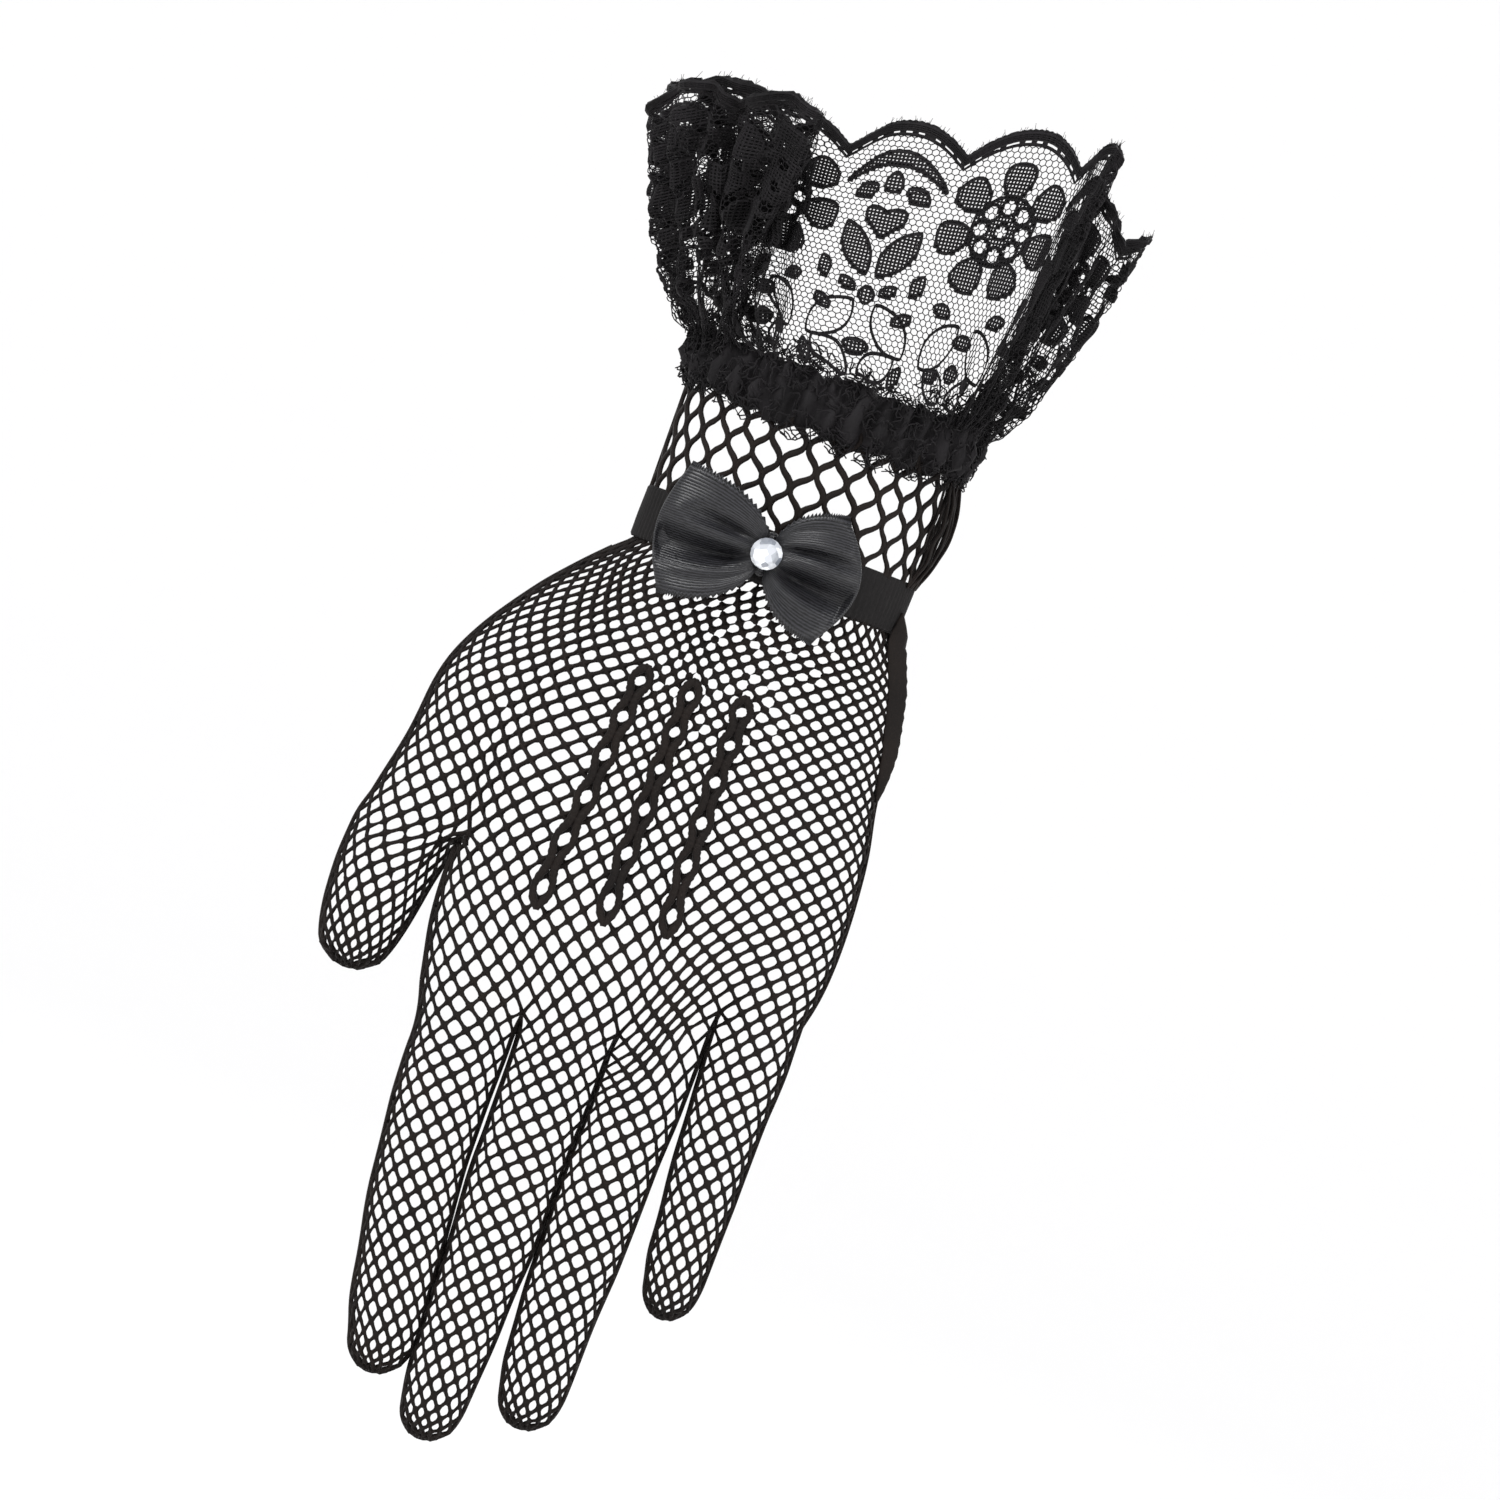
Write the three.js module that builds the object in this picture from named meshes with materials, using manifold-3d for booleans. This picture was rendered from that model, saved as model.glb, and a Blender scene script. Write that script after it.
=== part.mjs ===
// A lace glove for a left hand, in the form that it keeps when it is worn.
//
// The glove is a hollow net hand with five finger sleeves, a dense wrist band, an open mesh
// tube, a gathered seam and a standing lace frill. A ribbon bow with a faceted stone sits on
// the front of the wrist band, and three raised chains run down the back of the hand.
//
// Millimetres. The origin is the middle of the wrist band. +Z runs up the forearm, so the
// fingers hang towards -Z. The back of the hand faces -Y, and the thumb lies towards -X.

import * as THREE from 'three';
import { mergeVertices } from 'three/addons/utils/BufferGeometryUtils.js';
import Module from 'manifold-3d';

const wasm = await Module();
wasm.setup();

// Driving dimensions
const WALL = 1.0; // thickness of the net and of the lace
const GAP = 0.35; // clear space between neighbouring pieces
const WRIST = { halfWidth: 25.4, halfDepth: 19.0 }; // inside of the wrist band
const BAND = { bottom: -6.0, top: 4.0, thickness: 1.1, waist: 0.3 };
const MESH_TUBE = { top: 25.4, flare: 0.6 };
const HEADING = {
  top: 33.6, inset: 0.2, puff: 2.6, gather: 0.7, gathers: 24,
  fullest: 0.4, // share of its height where it stands out most
  topPuff: 0.8, topThickness: 1.2, hemGather: 0.4,
};
const RUFFLE = {
  scallops: 15, scallopDepth: 3.2, levels: 4, perFold: 3, baseGrow: 1.6,
  opening: 0.62, // below 1 the folds open out soon above the seam
};
const CHAIN = { radius: 1.1, clearance: 0.3, steps: 11, sides: 8 };
const BOW = {
  x: -1.5, z: -0.5, thickness: 1.0, steps: 22, across: 4,
  pinch: 3.0, // half the ribbon's width where the knot gathers it
  lift: 0.2, narrow: 0.35, // how far the loop stands open beside the knot, as a share
  fullAt: 0.8, fullness: 0.9, cornerCurve: 2.5,
};
const KNOT = { halfWidth: 1.9, halfDepth: 3.0, halfHeight: 4.4, sides: 12 };
const STONE = { radius: 3.0, height: 2.3, tableRadius: 1.7, girdle: 0.5, facets: 8 };

// Facets around each kind of ring
const AROUND = { hand: 28, finger: 12, thumb: 14, band: 32 };
const HAND_SQUARENESS = 2.35; // exponent of the hand's rounded section; 2 is an ellipse
const TIP_TURNS = [32, 60, 80]; // degrees round the dome at a fingertip
const KNOT_TURNS = [80, 50, 0, -50, -80]; // degrees up and down the bow's knot

// The hand, from the wrist to the webs of the fingers. thumbEdge and littleEdge are the two
// sides, back and palm the two faces, and lean lifts the section's little-finger side.
const HAND_SECTIONS = [
  { z: BAND.bottom - GAP, thumbEdge: -25.6, littleEdge: 25.8, back: -19.2, palm: 19.2, lean: 0 },
  { z: -16, thumbEdge: -28.0, littleEdge: 30.0, back: -18.2, palm: 18.4, lean: 0 },
  { z: -27, thumbEdge: -30.5, littleEdge: 32.6, back: -17.2, palm: 17.2, lean: 0 },
  { z: -40, thumbEdge: -33.5, littleEdge: 34.6, back: -16.0, palm: 15.6, lean: 0.02 },
  { z: -56, thumbEdge: -36.0, littleEdge: 37.0, back: -14.9, palm: 13.8, lean: 0.05 },
  { z: -70, thumbEdge: -36.4, littleEdge: 37.8, back: -13.6, palm: 12.6, lean: 0.1 },
  { z: -82, thumbEdge: -35.0, littleEdge: 37.0, back: -11.8, palm: 11.4, lean: 0.16 },
  { z: -88.5, thumbEdge: -32.4, littleEdge: 35.0, back: -9.0, palm: 9.0, lean: 0.2 },
  { z: -91.5, thumbEdge: -29.6, littleEdge: 32.4, back: -5.4, palm: 5.8, lean: 0.2 },
];

// The sleeves, from inside the hand to the start of the rounded tip. x and y are the middle
// of the section. The row at root is where the sleeve is joined to the hand.
const SLEEVES = {
  index: {
    root: -100, tip: { x: -15.2, y: 6.0, z: -167.5 },
    rows: [
      { z: -78, x: -23.4, y: -0.4, halfWidth: 8.2, halfDepth: 8.4 },
      { z: -100, x: -22.2, y: 0.0, halfWidth: 8.2, halfDepth: 8.2 },
      { z: -116, x: -21.8, y: 0.7, halfWidth: 8.0, halfDepth: 7.8 },
      { z: -138, x: -19.7, y: 2.1, halfWidth: 7.3, halfDepth: 7.0 },
      { z: -157, x: -16.9, y: 4.2, halfWidth: 6.2, halfDepth: 5.9 },
    ],
  },
  middle: {
    root: -98, tip: { x: -2.4, y: 6.6, z: -176.0 },
    rows: [
      { z: -76, x: -4.2, y: -0.5, halfWidth: 7.9, halfDepth: 8.6 },
      { z: -98, x: -4.1, y: 0.0, halfWidth: 8.0, halfDepth: 8.5 },
      { z: -116, x: -3.9, y: 0.7, halfWidth: 7.9, halfDepth: 8.1 },
      { z: -140, x: -3.3, y: 2.1, halfWidth: 7.4, halfDepth: 7.3 },
      { z: -164, x: -3.3, y: 4.6, halfWidth: 6.2, halfDepth: 6.0 },
    ],
  },
  ring: {
    root: -95, tip: { x: 13.9, y: 6.2, z: -167.5 },
    rows: [
      { z: -74, x: 12.3, y: -0.4, halfWidth: 7.5, halfDepth: 8.4 },
      { z: -95, x: 12.5, y: 0.0, halfWidth: 7.5, halfDepth: 8.1 },
      { z: -115, x: 12.5, y: 0.7, halfWidth: 7.4, halfDepth: 7.6 },
      { z: -137, x: 12.6, y: 2.0, halfWidth: 7.0, halfDepth: 6.9 },
      { z: -157, x: 13.0, y: 4.2, halfWidth: 6.1, halfDepth: 5.9 },
    ],
  },
  little: {
    root: -90, tip: { x: 31.4, y: 4.6, z: -139.2 },
    rows: [
      { z: -70, x: 27.4, y: -0.2, halfWidth: 7.0, halfDepth: 7.8 },
      { z: -90, x: 28.3, y: 0.0, halfWidth: 6.8, halfDepth: 7.2 },
      { z: -107, x: 28.7, y: 0.8, halfWidth: 6.2, halfDepth: 6.3 },
      { z: -130, x: 30.2, y: 3.2, halfWidth: 5.1, halfDepth: 5.1 },
    ],
  },
  thumb: {
    root: -68, tip: { x: -47.2, y: 9.4, z: -99.4 },
    rows: [
      { z: -7, x: -18.6, y: 3.0, halfWidth: 6.0, halfDepth: 8.0 },
      { z: -12, x: -22.2, y: 4.6, halfWidth: 9.4, halfDepth: 9.6 },
      { z: -20, x: -27.2, y: 5.6, halfWidth: 11.4, halfDepth: 11.0 },
      { z: -28, x: -32.2, y: 6.2, halfWidth: 11.8, halfDepth: 11.4 },
      { z: -36, x: -37.0, y: 6.8, halfWidth: 11.8, halfDepth: 11.2 },
      { z: -47, x: -40.0, y: 7.4, halfWidth: 11.0, halfDepth: 10.6 },
      { z: -57, x: -42.2, y: 7.8, halfWidth: 9.8, halfDepth: 10.0 },
      { z: -68, x: -45.2, y: 8.2, halfWidth: 9.4, halfDepth: 9.4 },
      { z: -80, x: -46.4, y: 8.6, halfWidth: 8.3, halfDepth: 8.4 },
      { z: -90, x: -47.1, y: 9.0, halfWidth: 7.2, halfDepth: 7.3 },
    ],
  },
};

// The folds of the frill, anticlockwise from above, starting at the left side of the front
// panel. base is the angle in degrees where the fold leaves the gathered seam, and x, y and
// z are where it reaches the scalloped edge.
const FOLDS = [
  { base: -125, x: -17, y: -24, z: 75 },
  { base: -110, x: -10, y: -31, z: 80 },
  { base: -95, x: 4, y: -35, z: 86 },
  { base: -78, x: 18, y: -33, z: 91 },
  { base: -62, x: 28, y: -27, z: 92 },
  { base: -49, x: 32, y: -17, z: 90 },
  { base: -36, x: 28, y: -8, z: 84 },
  { base: -22, x: 35, y: -9, z: 81 },
  { base: -8, x: 43, y: -3, z: 80 },
  { base: 8, x: 41, y: 8, z: 79 },
  { base: 22, x: 32, y: 12, z: 81 },
  { base: 35, x: 27, y: 20, z: 83 },
  { base: 48, x: 30, y: 31, z: 84 },
  { base: 62, x: 20, y: 36, z: 86 },
  { base: 74, x: 12, y: 29, z: 84 },
  { base: 86, x: 4, y: 23, z: 81 },
  { base: 98, x: -3, y: 31, z: 80 },
  { base: 110, x: -12, y: 38, z: 80 },
  { base: 124, x: -22, y: 34, z: 80 },
  { base: 137, x: -23, y: 24, z: 79 },
  { base: 151, x: -33, y: 24, z: 78 },
  { base: 165, x: -43, y: 18, z: 75 },
  { base: 178, x: -43, y: 7, z: 73 },
  { base: 190, x: -37, y: 0, z: 72 },
  { base: 202, x: -46, y: -6, z: 71 },
  { base: 211, x: -51, y: -17, z: 72 },
  { base: 219, x: -44, y: -28, z: 79 },
  { base: 226, x: -33, y: -33, z: 82 },
  { base: 231, x: -23, y: -30, z: 80 },
];

// The raised chains on the back of the hand, each along a straight line seen from the front.
const BACK_CHAINS = [
  { from: { x: -15.0, z: -27.0 }, to: { x: -18.5, z: -72.5 } },
  { from: { x: -4.6, z: -27.0 }, to: { x: -6.0, z: -73.5 } },
  { from: { x: 5.5, z: -26.0 }, to: { x: 5.6, z: -72.5 } },
];

// The bow's loops: reach is how far the fold lies from the middle, rise and drop are the
// ribbon's edges above and below the middle there, depth is how far the loop stands open, and
// topPull and bottomPull are how much shorter the fold is at its upper and lower corner.
const BOW_LOOPS = {
  left: { side: -1, reach: 19.2, rise: 11.4, drop: 12.8, depth: 4.2, topPull: 2.4, bottomPull: 4.4 },
  right: { side: 1, reach: 18.8, rise: 11.0, drop: 12.4, depth: 4.0, topPull: 6.4, bottomPull: 4.4 },
};

// Materials
const netThread = new THREE.MeshStandardMaterial({ color: 0x17130f, roughness: 0.85, metalness: 0 });
const elasticThread = new THREE.MeshStandardMaterial({ color: 0x121010, roughness: 0.9, metalness: 0 });
const laceThread = new THREE.MeshStandardMaterial({ color: 0x141213, roughness: 0.8, metalness: 0 });
const satinRibbon = new THREE.MeshStandardMaterial({ color: 0x242326, roughness: 0.4, metalness: 0 });
const clearStone = new THREE.MeshStandardMaterial({ color: 0xdfe6ea, roughness: 0.05, metalness: 0.1 });

const radians = THREE.MathUtils.degToRad;
const lerp = THREE.MathUtils.lerp;

// Geometry helpers

// Joins rings of equal length into a closed body: walls between neighbouring rings, and a
// fan over each end. Rings run anticlockwise seen from above, and follow each other downwards.
function loft(rings) {
  const around = rings[0].length;
  const points = rings.flat();
  const triangles = [];
  for (let row = 0; row + 1 < rings.length; row += 1) {
    for (let column = 0; column < around; column += 1) {
      const next = (column + 1) % around;
      const above = row * around;
      const below = above + around;
      triangles.push(above + column, below + column, below + next);
      triangles.push(above + column, below + next, above + next);
    }
  }
  const last = (rings.length - 1) * around;
  points.push(middleOf(rings[0]), middleOf(rings[rings.length - 1]));
  const topMiddle = points.length - 2;
  const bottomMiddle = points.length - 1;
  for (let column = 0; column < around; column += 1) {
    const next = (column + 1) % around;
    triangles.push(topMiddle, column, next);
    triangles.push(bottomMiddle, last + next, last + column);
  }
  return geometryOf(points, triangles);
}

// Joins profiles of equal length, each a closed loop, into a body that closes on itself.
function loopedLoft(profiles) {
  const length = profiles[0].length;
  const triangles = [];
  profiles.forEach((profile, index) => {
    const here = index * length;
    const there = ((index + 1) % profiles.length) * length;
    for (let k = 0; k < length; k += 1) {
      const next = (k + 1) % length;
      triangles.push(here + k, there + k, there + next);
      triangles.push(here + k, there + next, here + next);
    }
  });
  return geometryOf(profiles.flat(), triangles);
}

function geometryOf(points, triangles) {
  const geometry = new THREE.BufferGeometry();
  const values = points.flatMap((point) => [point.x, point.y, point.z]);
  geometry.setAttribute('position', new THREE.Float32BufferAttribute(values, 3));
  geometry.setIndex(triangles);
  return geometry;
}

function middleOf(ring) {
  const sum = ring.reduce((total, point) => total.add(point), new THREE.Vector3());
  return sum.divideScalar(ring.length);
}

function solidOf(geometry) {
  const bare = geometry.clone();
  bare.deleteAttribute('normal');
  bare.deleteAttribute('uv');
  const merged = mergeVertices(bare, 1e-4);
  return new wasm.Manifold(new wasm.Mesh({
    numProp: 3,
    vertProperties: new Float32Array(merged.attributes.position.array),
    triVerts: new Uint32Array(merged.index.array),
  }));
}

function geometryFrom(solid) {
  const mesh = solid.getMesh();
  const geometry = new THREE.BufferGeometry();
  geometry.setAttribute('position', new THREE.BufferAttribute(mesh.vertProperties, 3));
  geometry.setIndex(new THREE.BufferAttribute(mesh.triVerts, 1));
  return geometry;
}

function ellipseRing({ x = 0, y = 0, z, halfWidth, halfDepth }, around) {
  return Array.from({ length: around }, (_, k) => {
    const angle = (2 * Math.PI * k) / around;
    return new THREE.Vector3(x + halfWidth * Math.cos(angle), y + halfDepth * Math.sin(angle), z);
  });
}

// The hand and its sleeves

// A point of the hand's rounded section, at an angle from +X towards +Y.
function handPoint(section, angle, inset) {
  const middleX = (section.thumbEdge + section.littleEdge) / 2;
  const middleY = (section.back + section.palm) / 2;
  const halfWidth = (section.littleEdge - section.thumbEdge) / 2 - inset;
  const halfDepth = (section.palm - section.back) / 2 - inset;
  const round = (value) => Math.sign(value) * Math.abs(value) ** (2 / HAND_SQUARENESS);
  const x = middleX + halfWidth * round(Math.cos(angle));
  const y = middleY + halfDepth * round(Math.sin(angle));
  return new THREE.Vector3(x, y, section.z + section.lean * x);
}

function handForm(inset) {
  const rings = HAND_SECTIONS.map((section) => (
    Array.from({ length: AROUND.hand }, (_, k) => (
      handPoint(section, (2 * Math.PI * k) / AROUND.hand, inset)))
  ));
  if (inset > 0) {
    rings[0] = rings[0].map((point) => point.clone().setZ(point.z + WALL));
    rings[rings.length - 1] = rings[rings.length - 1]
      .map((point) => point.clone().setZ(point.z + WALL));
  }
  return loft(rings);
}

const insetRow = (row, inset) => ({
  ...row, halfWidth: row.halfWidth - inset, halfDepth: row.halfDepth - inset,
});

// The part of a sleeve that belongs to the hand, down to its root. The hollow goes past it.
function stubForm(sleeve, around, inset) {
  const rows = sleeve.rows.filter((row) => row.z >= sleeve.root);
  const rings = rows.map((row) => ellipseRing(insetRow(row, inset), around));
  if (inset > 0) {
    rings[rings.length - 1] = rings[rings.length - 1]
      .map((point) => point.clone().setZ(point.z - WALL));
  }
  return loft(rings);
}

// The sleeve below its root, closed by a rounded tip. The hollow is open at the root.
function sleeveForm(sleeve, around, inset) {
  const rows = sleeve.rows.filter((row) => row.z <= sleeve.root);
  const rings = rows.map((row) => ellipseRing(insetRow(row, inset), around));
  const rootZ = sleeve.root - GAP + (inset > 0 ? WALL : 0);
  rings[0] = rings[0].map((point) => point.clone().setZ(rootZ));
  const last = rows[rows.length - 1];
  const tipZ = sleeve.tip.z + inset;
  for (const turn of TIP_TURNS) {
    const down = Math.sin(radians(turn));
    const shrink = Math.cos(radians(turn));
    rings.push(ellipseRing({
      x: lerp(last.x, sleeve.tip.x, down),
      y: lerp(last.y, sleeve.tip.y, down),
      z: lerp(last.z, tipZ, down),
      halfWidth: (last.halfWidth - inset) * shrink,
      halfDepth: (last.halfDepth - inset) * shrink,
    }, around));
  }
  return loft(rings);
}

const sidesOf = (name) => (name === 'thumb' ? AROUND.thumb : AROUND.finger);

function handNet() {
  let outer = solidOf(handForm(0));
  let hollow = solidOf(handForm(WALL));
  for (const [name, sleeve] of Object.entries(SLEEVES)) {
    outer = outer.add(solidOf(stubForm(sleeve, sidesOf(name), 0)));
    hollow = hollow.add(solidOf(stubForm(sleeve, sidesOf(name), WALL)));
  }
  return geometryFrom(outer.subtract(hollow));
}

function sleeveNet(name) {
  const outer = solidOf(sleeveForm(SLEEVES[name], sidesOf(name), 0));
  const hollow = solidOf(sleeveForm(SLEEVES[name], sidesOf(name), WALL));
  return geometryFrom(outer.subtract(hollow));
}

// The wrist

// A ring wall around the wrist. rows give the height, how far the outer face lies from the
// wrist, and the wall's thickness there; ripple adds to the outer face by angle.
function wristRing(rows, around, ripple = () => 0) {
  const profiles = Array.from({ length: around }, (_, k) => {
    const angle = (2 * Math.PI * k) / around;
    const place = (out, z) => new THREE.Vector3(
      (WRIST.halfWidth + out) * Math.cos(angle), (WRIST.halfDepth + out) * Math.sin(angle), z);
    const outside = rows.map((row) => place(row.out + ripple(angle) * (row.ripple ?? 0), row.z));
    const inside = rows.map((row) => place(row.out - row.thickness, row.z));
    return [...outside, ...inside.reverse()];
  });
  return loopedLoft(profiles);
}

function wristBand() {
  const { bottom, top, thickness, waist } = BAND;
  return wristRing([
    { z: bottom, out: thickness, thickness },
    { z: (bottom + top) / 2, out: thickness - waist, thickness: thickness - waist },
    { z: top, out: thickness, thickness },
  ], AROUND.band);
}

function wristMesh() {
  const bottom = BAND.top + GAP;
  return wristRing([
    { z: bottom, out: WALL, thickness: WALL },
    { z: MESH_TUBE.top, out: WALL + MESH_TUBE.flare, thickness: WALL },
  ], AROUND.band);
}

function ruffleHeading() {
  const { top, inset, puff, gather, gathers, fullest, topPuff, topThickness, hemGather } = HEADING;
  const bottom = MESH_TUBE.top + GAP;
  const out = WALL + MESH_TUBE.flare - inset;
  const columnsPerGather = 4;
  return wristRing([
    { z: bottom, out, thickness: WALL, ripple: hemGather },
    { z: lerp(bottom, top, fullest), out: out + puff, thickness: puff, ripple: 1 },
    { z: top, out: out + puff * topPuff, thickness: topThickness, ripple: 1 },
  ], gathers * columnsPerGather, (angle) => gather * Math.cos(gathers * angle));
}

// The frill

// The scalloped edge of the frill from above, one point for each column.
function frillEdge() {
  const edge = new THREE.CatmullRomCurve3(
    FOLDS.map((fold) => new THREE.Vector3(fold.x, fold.y, fold.z)), true, 'centripetal');
  const columns = FOLDS.length * RUFFLE.perFold;
  return Array.from({ length: columns }, (_, k) => edge.getPoint(k / columns));
}

function frillBaseAngle(column) {
  const fold = Math.floor(column / RUFFLE.perFold);
  const here = FOLDS[fold].base;
  const next = fold + 1 < FOLDS.length ? FOLDS[fold + 1].base : FOLDS[0].base + 360;
  return radians(lerp(here, next, (column % RUFFLE.perFold) / RUFFLE.perFold));
}

function laceRuffle() {
  const bottom = HEADING.top + GAP;
  const edge = frillEdge();
  const spread = WALL + MESH_TUBE.flare + RUFFLE.baseGrow;
  const middle = edge.map((top, column) => {
    const angle = frillBaseAngle(column);
    const base = new THREE.Vector3(
      (WRIST.halfWidth + spread) * Math.cos(angle),
      (WRIST.halfDepth + spread) * Math.sin(angle),
      bottom);
    const wave = Math.abs(Math.sin((Math.PI * RUFFLE.scallops * column) / edge.length));
    return Array.from({ length: RUFFLE.levels + 1 }, (_, level) => {
      const up = level / RUFFLE.levels;
      const across = up ** RUFFLE.opening;
      const height = top.z - bottom - RUFFLE.scallopDepth * (1 - wave) * up ** 4;
      return new THREE.Vector3(
        lerp(base.x, top.x, across), lerp(base.y, top.y, across), bottom + height * up);
    });
  });
  const profiles = middle.map((line, column) => {
    const before = middle[(column + middle.length - 1) % middle.length];
    const after = middle[(column + 1) % middle.length];
    const normals = line.map((_, level) => {
      const along = after[level].clone().sub(before[level]);
      const upper = line[Math.min(level + 1, line.length - 1)];
      const rise = upper.clone().sub(line[Math.max(level - 1, 0)]);
      return along.cross(rise).normalize().setZ(0).multiplyScalar(WALL / 2);
    });
    const outside = line.map((point, level) => point.clone().add(normals[level]));
    const inside = line.map((point, level) => point.clone().sub(normals[level]));
    return [...outside, ...inside.reverse()];
  });
  return loopedLoft(profiles);
}

// The chains on the back

// How far back the hand's face lies at x and z.
function handBack(x, z) {
  const sectionZ = (section) => section.z + section.lean * x;
  const below = HAND_SECTIONS.findIndex((section) => sectionZ(section) <= z);
  const upper = HAND_SECTIONS[below - 1];
  const lower = HAND_SECTIONS[below];
  const share = (sectionZ(upper) - z) / (sectionZ(upper) - sectionZ(lower));
  const faceOf = (section) => {
    const middleX = (section.thumbEdge + section.littleEdge) / 2;
    const off = Math.abs(x - middleX) / ((section.littleEdge - section.thumbEdge) / 2);
    const halfDepth = (section.palm - section.back) / 2;
    const middleY = (section.back + section.palm) / 2;
    return middleY - halfDepth * (1 - off ** HAND_SQUARENESS) ** (1 / HAND_SQUARENESS);
  };
  return lerp(faceOf(upper), faceOf(lower), share);
}

function backChain({ from, to }) {
  const route = Array.from({ length: CHAIN.steps + 1 }, (_, k) => {
    const x = lerp(from.x, to.x, k / CHAIN.steps);
    const z = lerp(from.z, to.z, k / CHAIN.steps);
    return new THREE.Vector3(x, handBack(x, z) - CHAIN.radius - CHAIN.clearance, z);
  });
  const section = new THREE.Shape(Array.from({ length: CHAIN.sides }, (_, k) => {
    const angle = (2 * Math.PI * k) / CHAIN.sides;
    return new THREE.Vector2(CHAIN.radius * Math.cos(angle), CHAIN.radius * Math.sin(angle));
  }));
  return new THREE.ExtrudeGeometry(section, {
    extrudePath: new THREE.CatmullRomCurve3(route), steps: CHAIN.steps, bevelEnabled: false,
  });
}

// The bow

const bowBack = () => -(WRIST.halfDepth + BAND.thickness) - GAP;

// One loop of ribbon: out along the front, round the fold, and back along the wrist side.
function bowLoop({ side, reach, rise, drop, depth, topPull, bottomPull }) {
  const inner = KNOT.halfWidth + GAP + BOW.thickness / 2;
  const { pinch } = BOW;
  const rearY = bowBack() - BOW.thickness / 2;
  const profiles = Array.from({ length: BOW.steps }, (_, k) => {
    const turn = (2 * Math.PI * k) / BOW.steps;
    const out = (1 - Math.cos(turn)) / 2;
    const open = Math.sin(turn) * lerp(BOW.narrow, 1, Math.sin(Math.PI * out));
    const y = rearY - depth * (1 + open) - BOW.lift;
    const fullness = Math.sin((Math.PI / 2) * Math.min(1, out / BOW.fullAt)) ** BOW.fullness;
    const normalX = side * -Math.cos(turn);
    const normalY = -Math.sin(turn);
    const shift = new THREE.Vector3(normalX, normalY, 0).normalize().multiplyScalar(BOW.thickness / 2);
    const line = Array.from({ length: BOW.across + 1 }, (_, level) => {
      const share = level / BOW.across;
      const top = lerp(pinch, rise, fullness);
      const bottom = -lerp(pinch, drop, fullness);
      const off = 2 * share - 1;
      const pull = (off > 0 ? topPull : bottomPull) * Math.abs(off) ** BOW.cornerCurve;
      const x = BOW.x + side * (inner + (reach - pull - inner) * out);
      return new THREE.Vector3(x, y, BOW.z + lerp(bottom, top, share));
    });
    const outside = line.map((point) => point.clone().add(shift));
    const inside = line.map((point) => point.clone().sub(shift));
    return side > 0 ? [...outside, ...inside.reverse()] : [...inside, ...outside.reverse()];
  });
  return loopedLoft(profiles);
}

function bowKnot() {
  const { halfWidth, halfDepth, halfHeight, sides } = KNOT;
  const rings = KNOT_TURNS.map((turn) => ellipseRing({
    x: BOW.x,
    y: bowBack() - halfDepth,
    z: BOW.z + halfHeight * Math.sin(radians(turn)),
    halfWidth: halfWidth * Math.cos(radians(turn)) ** 0.5,
    halfDepth: halfDepth * Math.cos(radians(turn)) ** 0.5,
  }, sides));
  return loft(rings);
}

// A round stone with a flat back, a girdle, a ring of sloping facets and a table.
function rhinestone() {
  const { radius, height, tableRadius, girdle, facets } = STONE;
  const outline = [[0, 0], [radius, 0], [radius, girdle], [tableRadius, height], [0, height]]
    .map(([x, y]) => new THREE.Vector2(x, y));
  const stone = new THREE.LatheGeometry(outline, facets);
  stone.rotateX(radians(180));
  return stone;
}

// The assembly

const glove = new THREE.Group();

function addPiece(name, geometry, material) {
  const piece = new THREE.Mesh(geometry, material);
  piece.name = name;
  glove.add(piece);
  return piece;
}

addPiece('hand_net', handNet(), netThread);
for (const name of Object.keys(SLEEVES)) {
  addPiece(`${name}_net`, sleeveNet(name), netThread);
}
addPiece('wrist_band', wristBand(), elasticThread);
addPiece('wrist_mesh', wristMesh(), netThread);
addPiece('ruffle_heading', ruffleHeading(), laceThread);
addPiece('lace_ruffle', laceRuffle(), laceThread);
BACK_CHAINS.forEach((chain, index) => {
  addPiece(`back_chain_${index + 1}`, backChain(chain), netThread);
});
for (const [name, loop] of Object.entries(BOW_LOOPS)) {
  addPiece(`bow_loop_${name}`, bowLoop(loop), satinRibbon);
}
addPiece('bow_knot', bowKnot(), satinRibbon);
const stone = addPiece('rhinestone', rhinestone(), clearStone);
stone.position.set(BOW.x, bowBack() - 2 * KNOT.halfDepth - GAP, BOW.z);

export default glove;
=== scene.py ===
"""Dresses a lace glove for the left hand: knitted net, wide mesh, gathered lace, bow and stone.

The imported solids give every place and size. Shapes are worked out in millimetres and put
into metres when a piece is finished. +Z runs up the forearm, the back of the hand faces -Y
and the thumb lies towards -X.
"""

import logging
import math
import random
from bisect import bisect_left
from collections.abc import Callable, Iterable, Sequence
from dataclasses import dataclass, field
from enum import Enum
from itertools import accumulate

import bmesh
import bpy
from bmesh.types import BMEdge, BMesh, BMFace, BMVert
from mathutils import Matrix, Vector, noise
from mathutils.bvhtree import BVHTree
from mathutils.kdtree import KDTree


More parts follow.
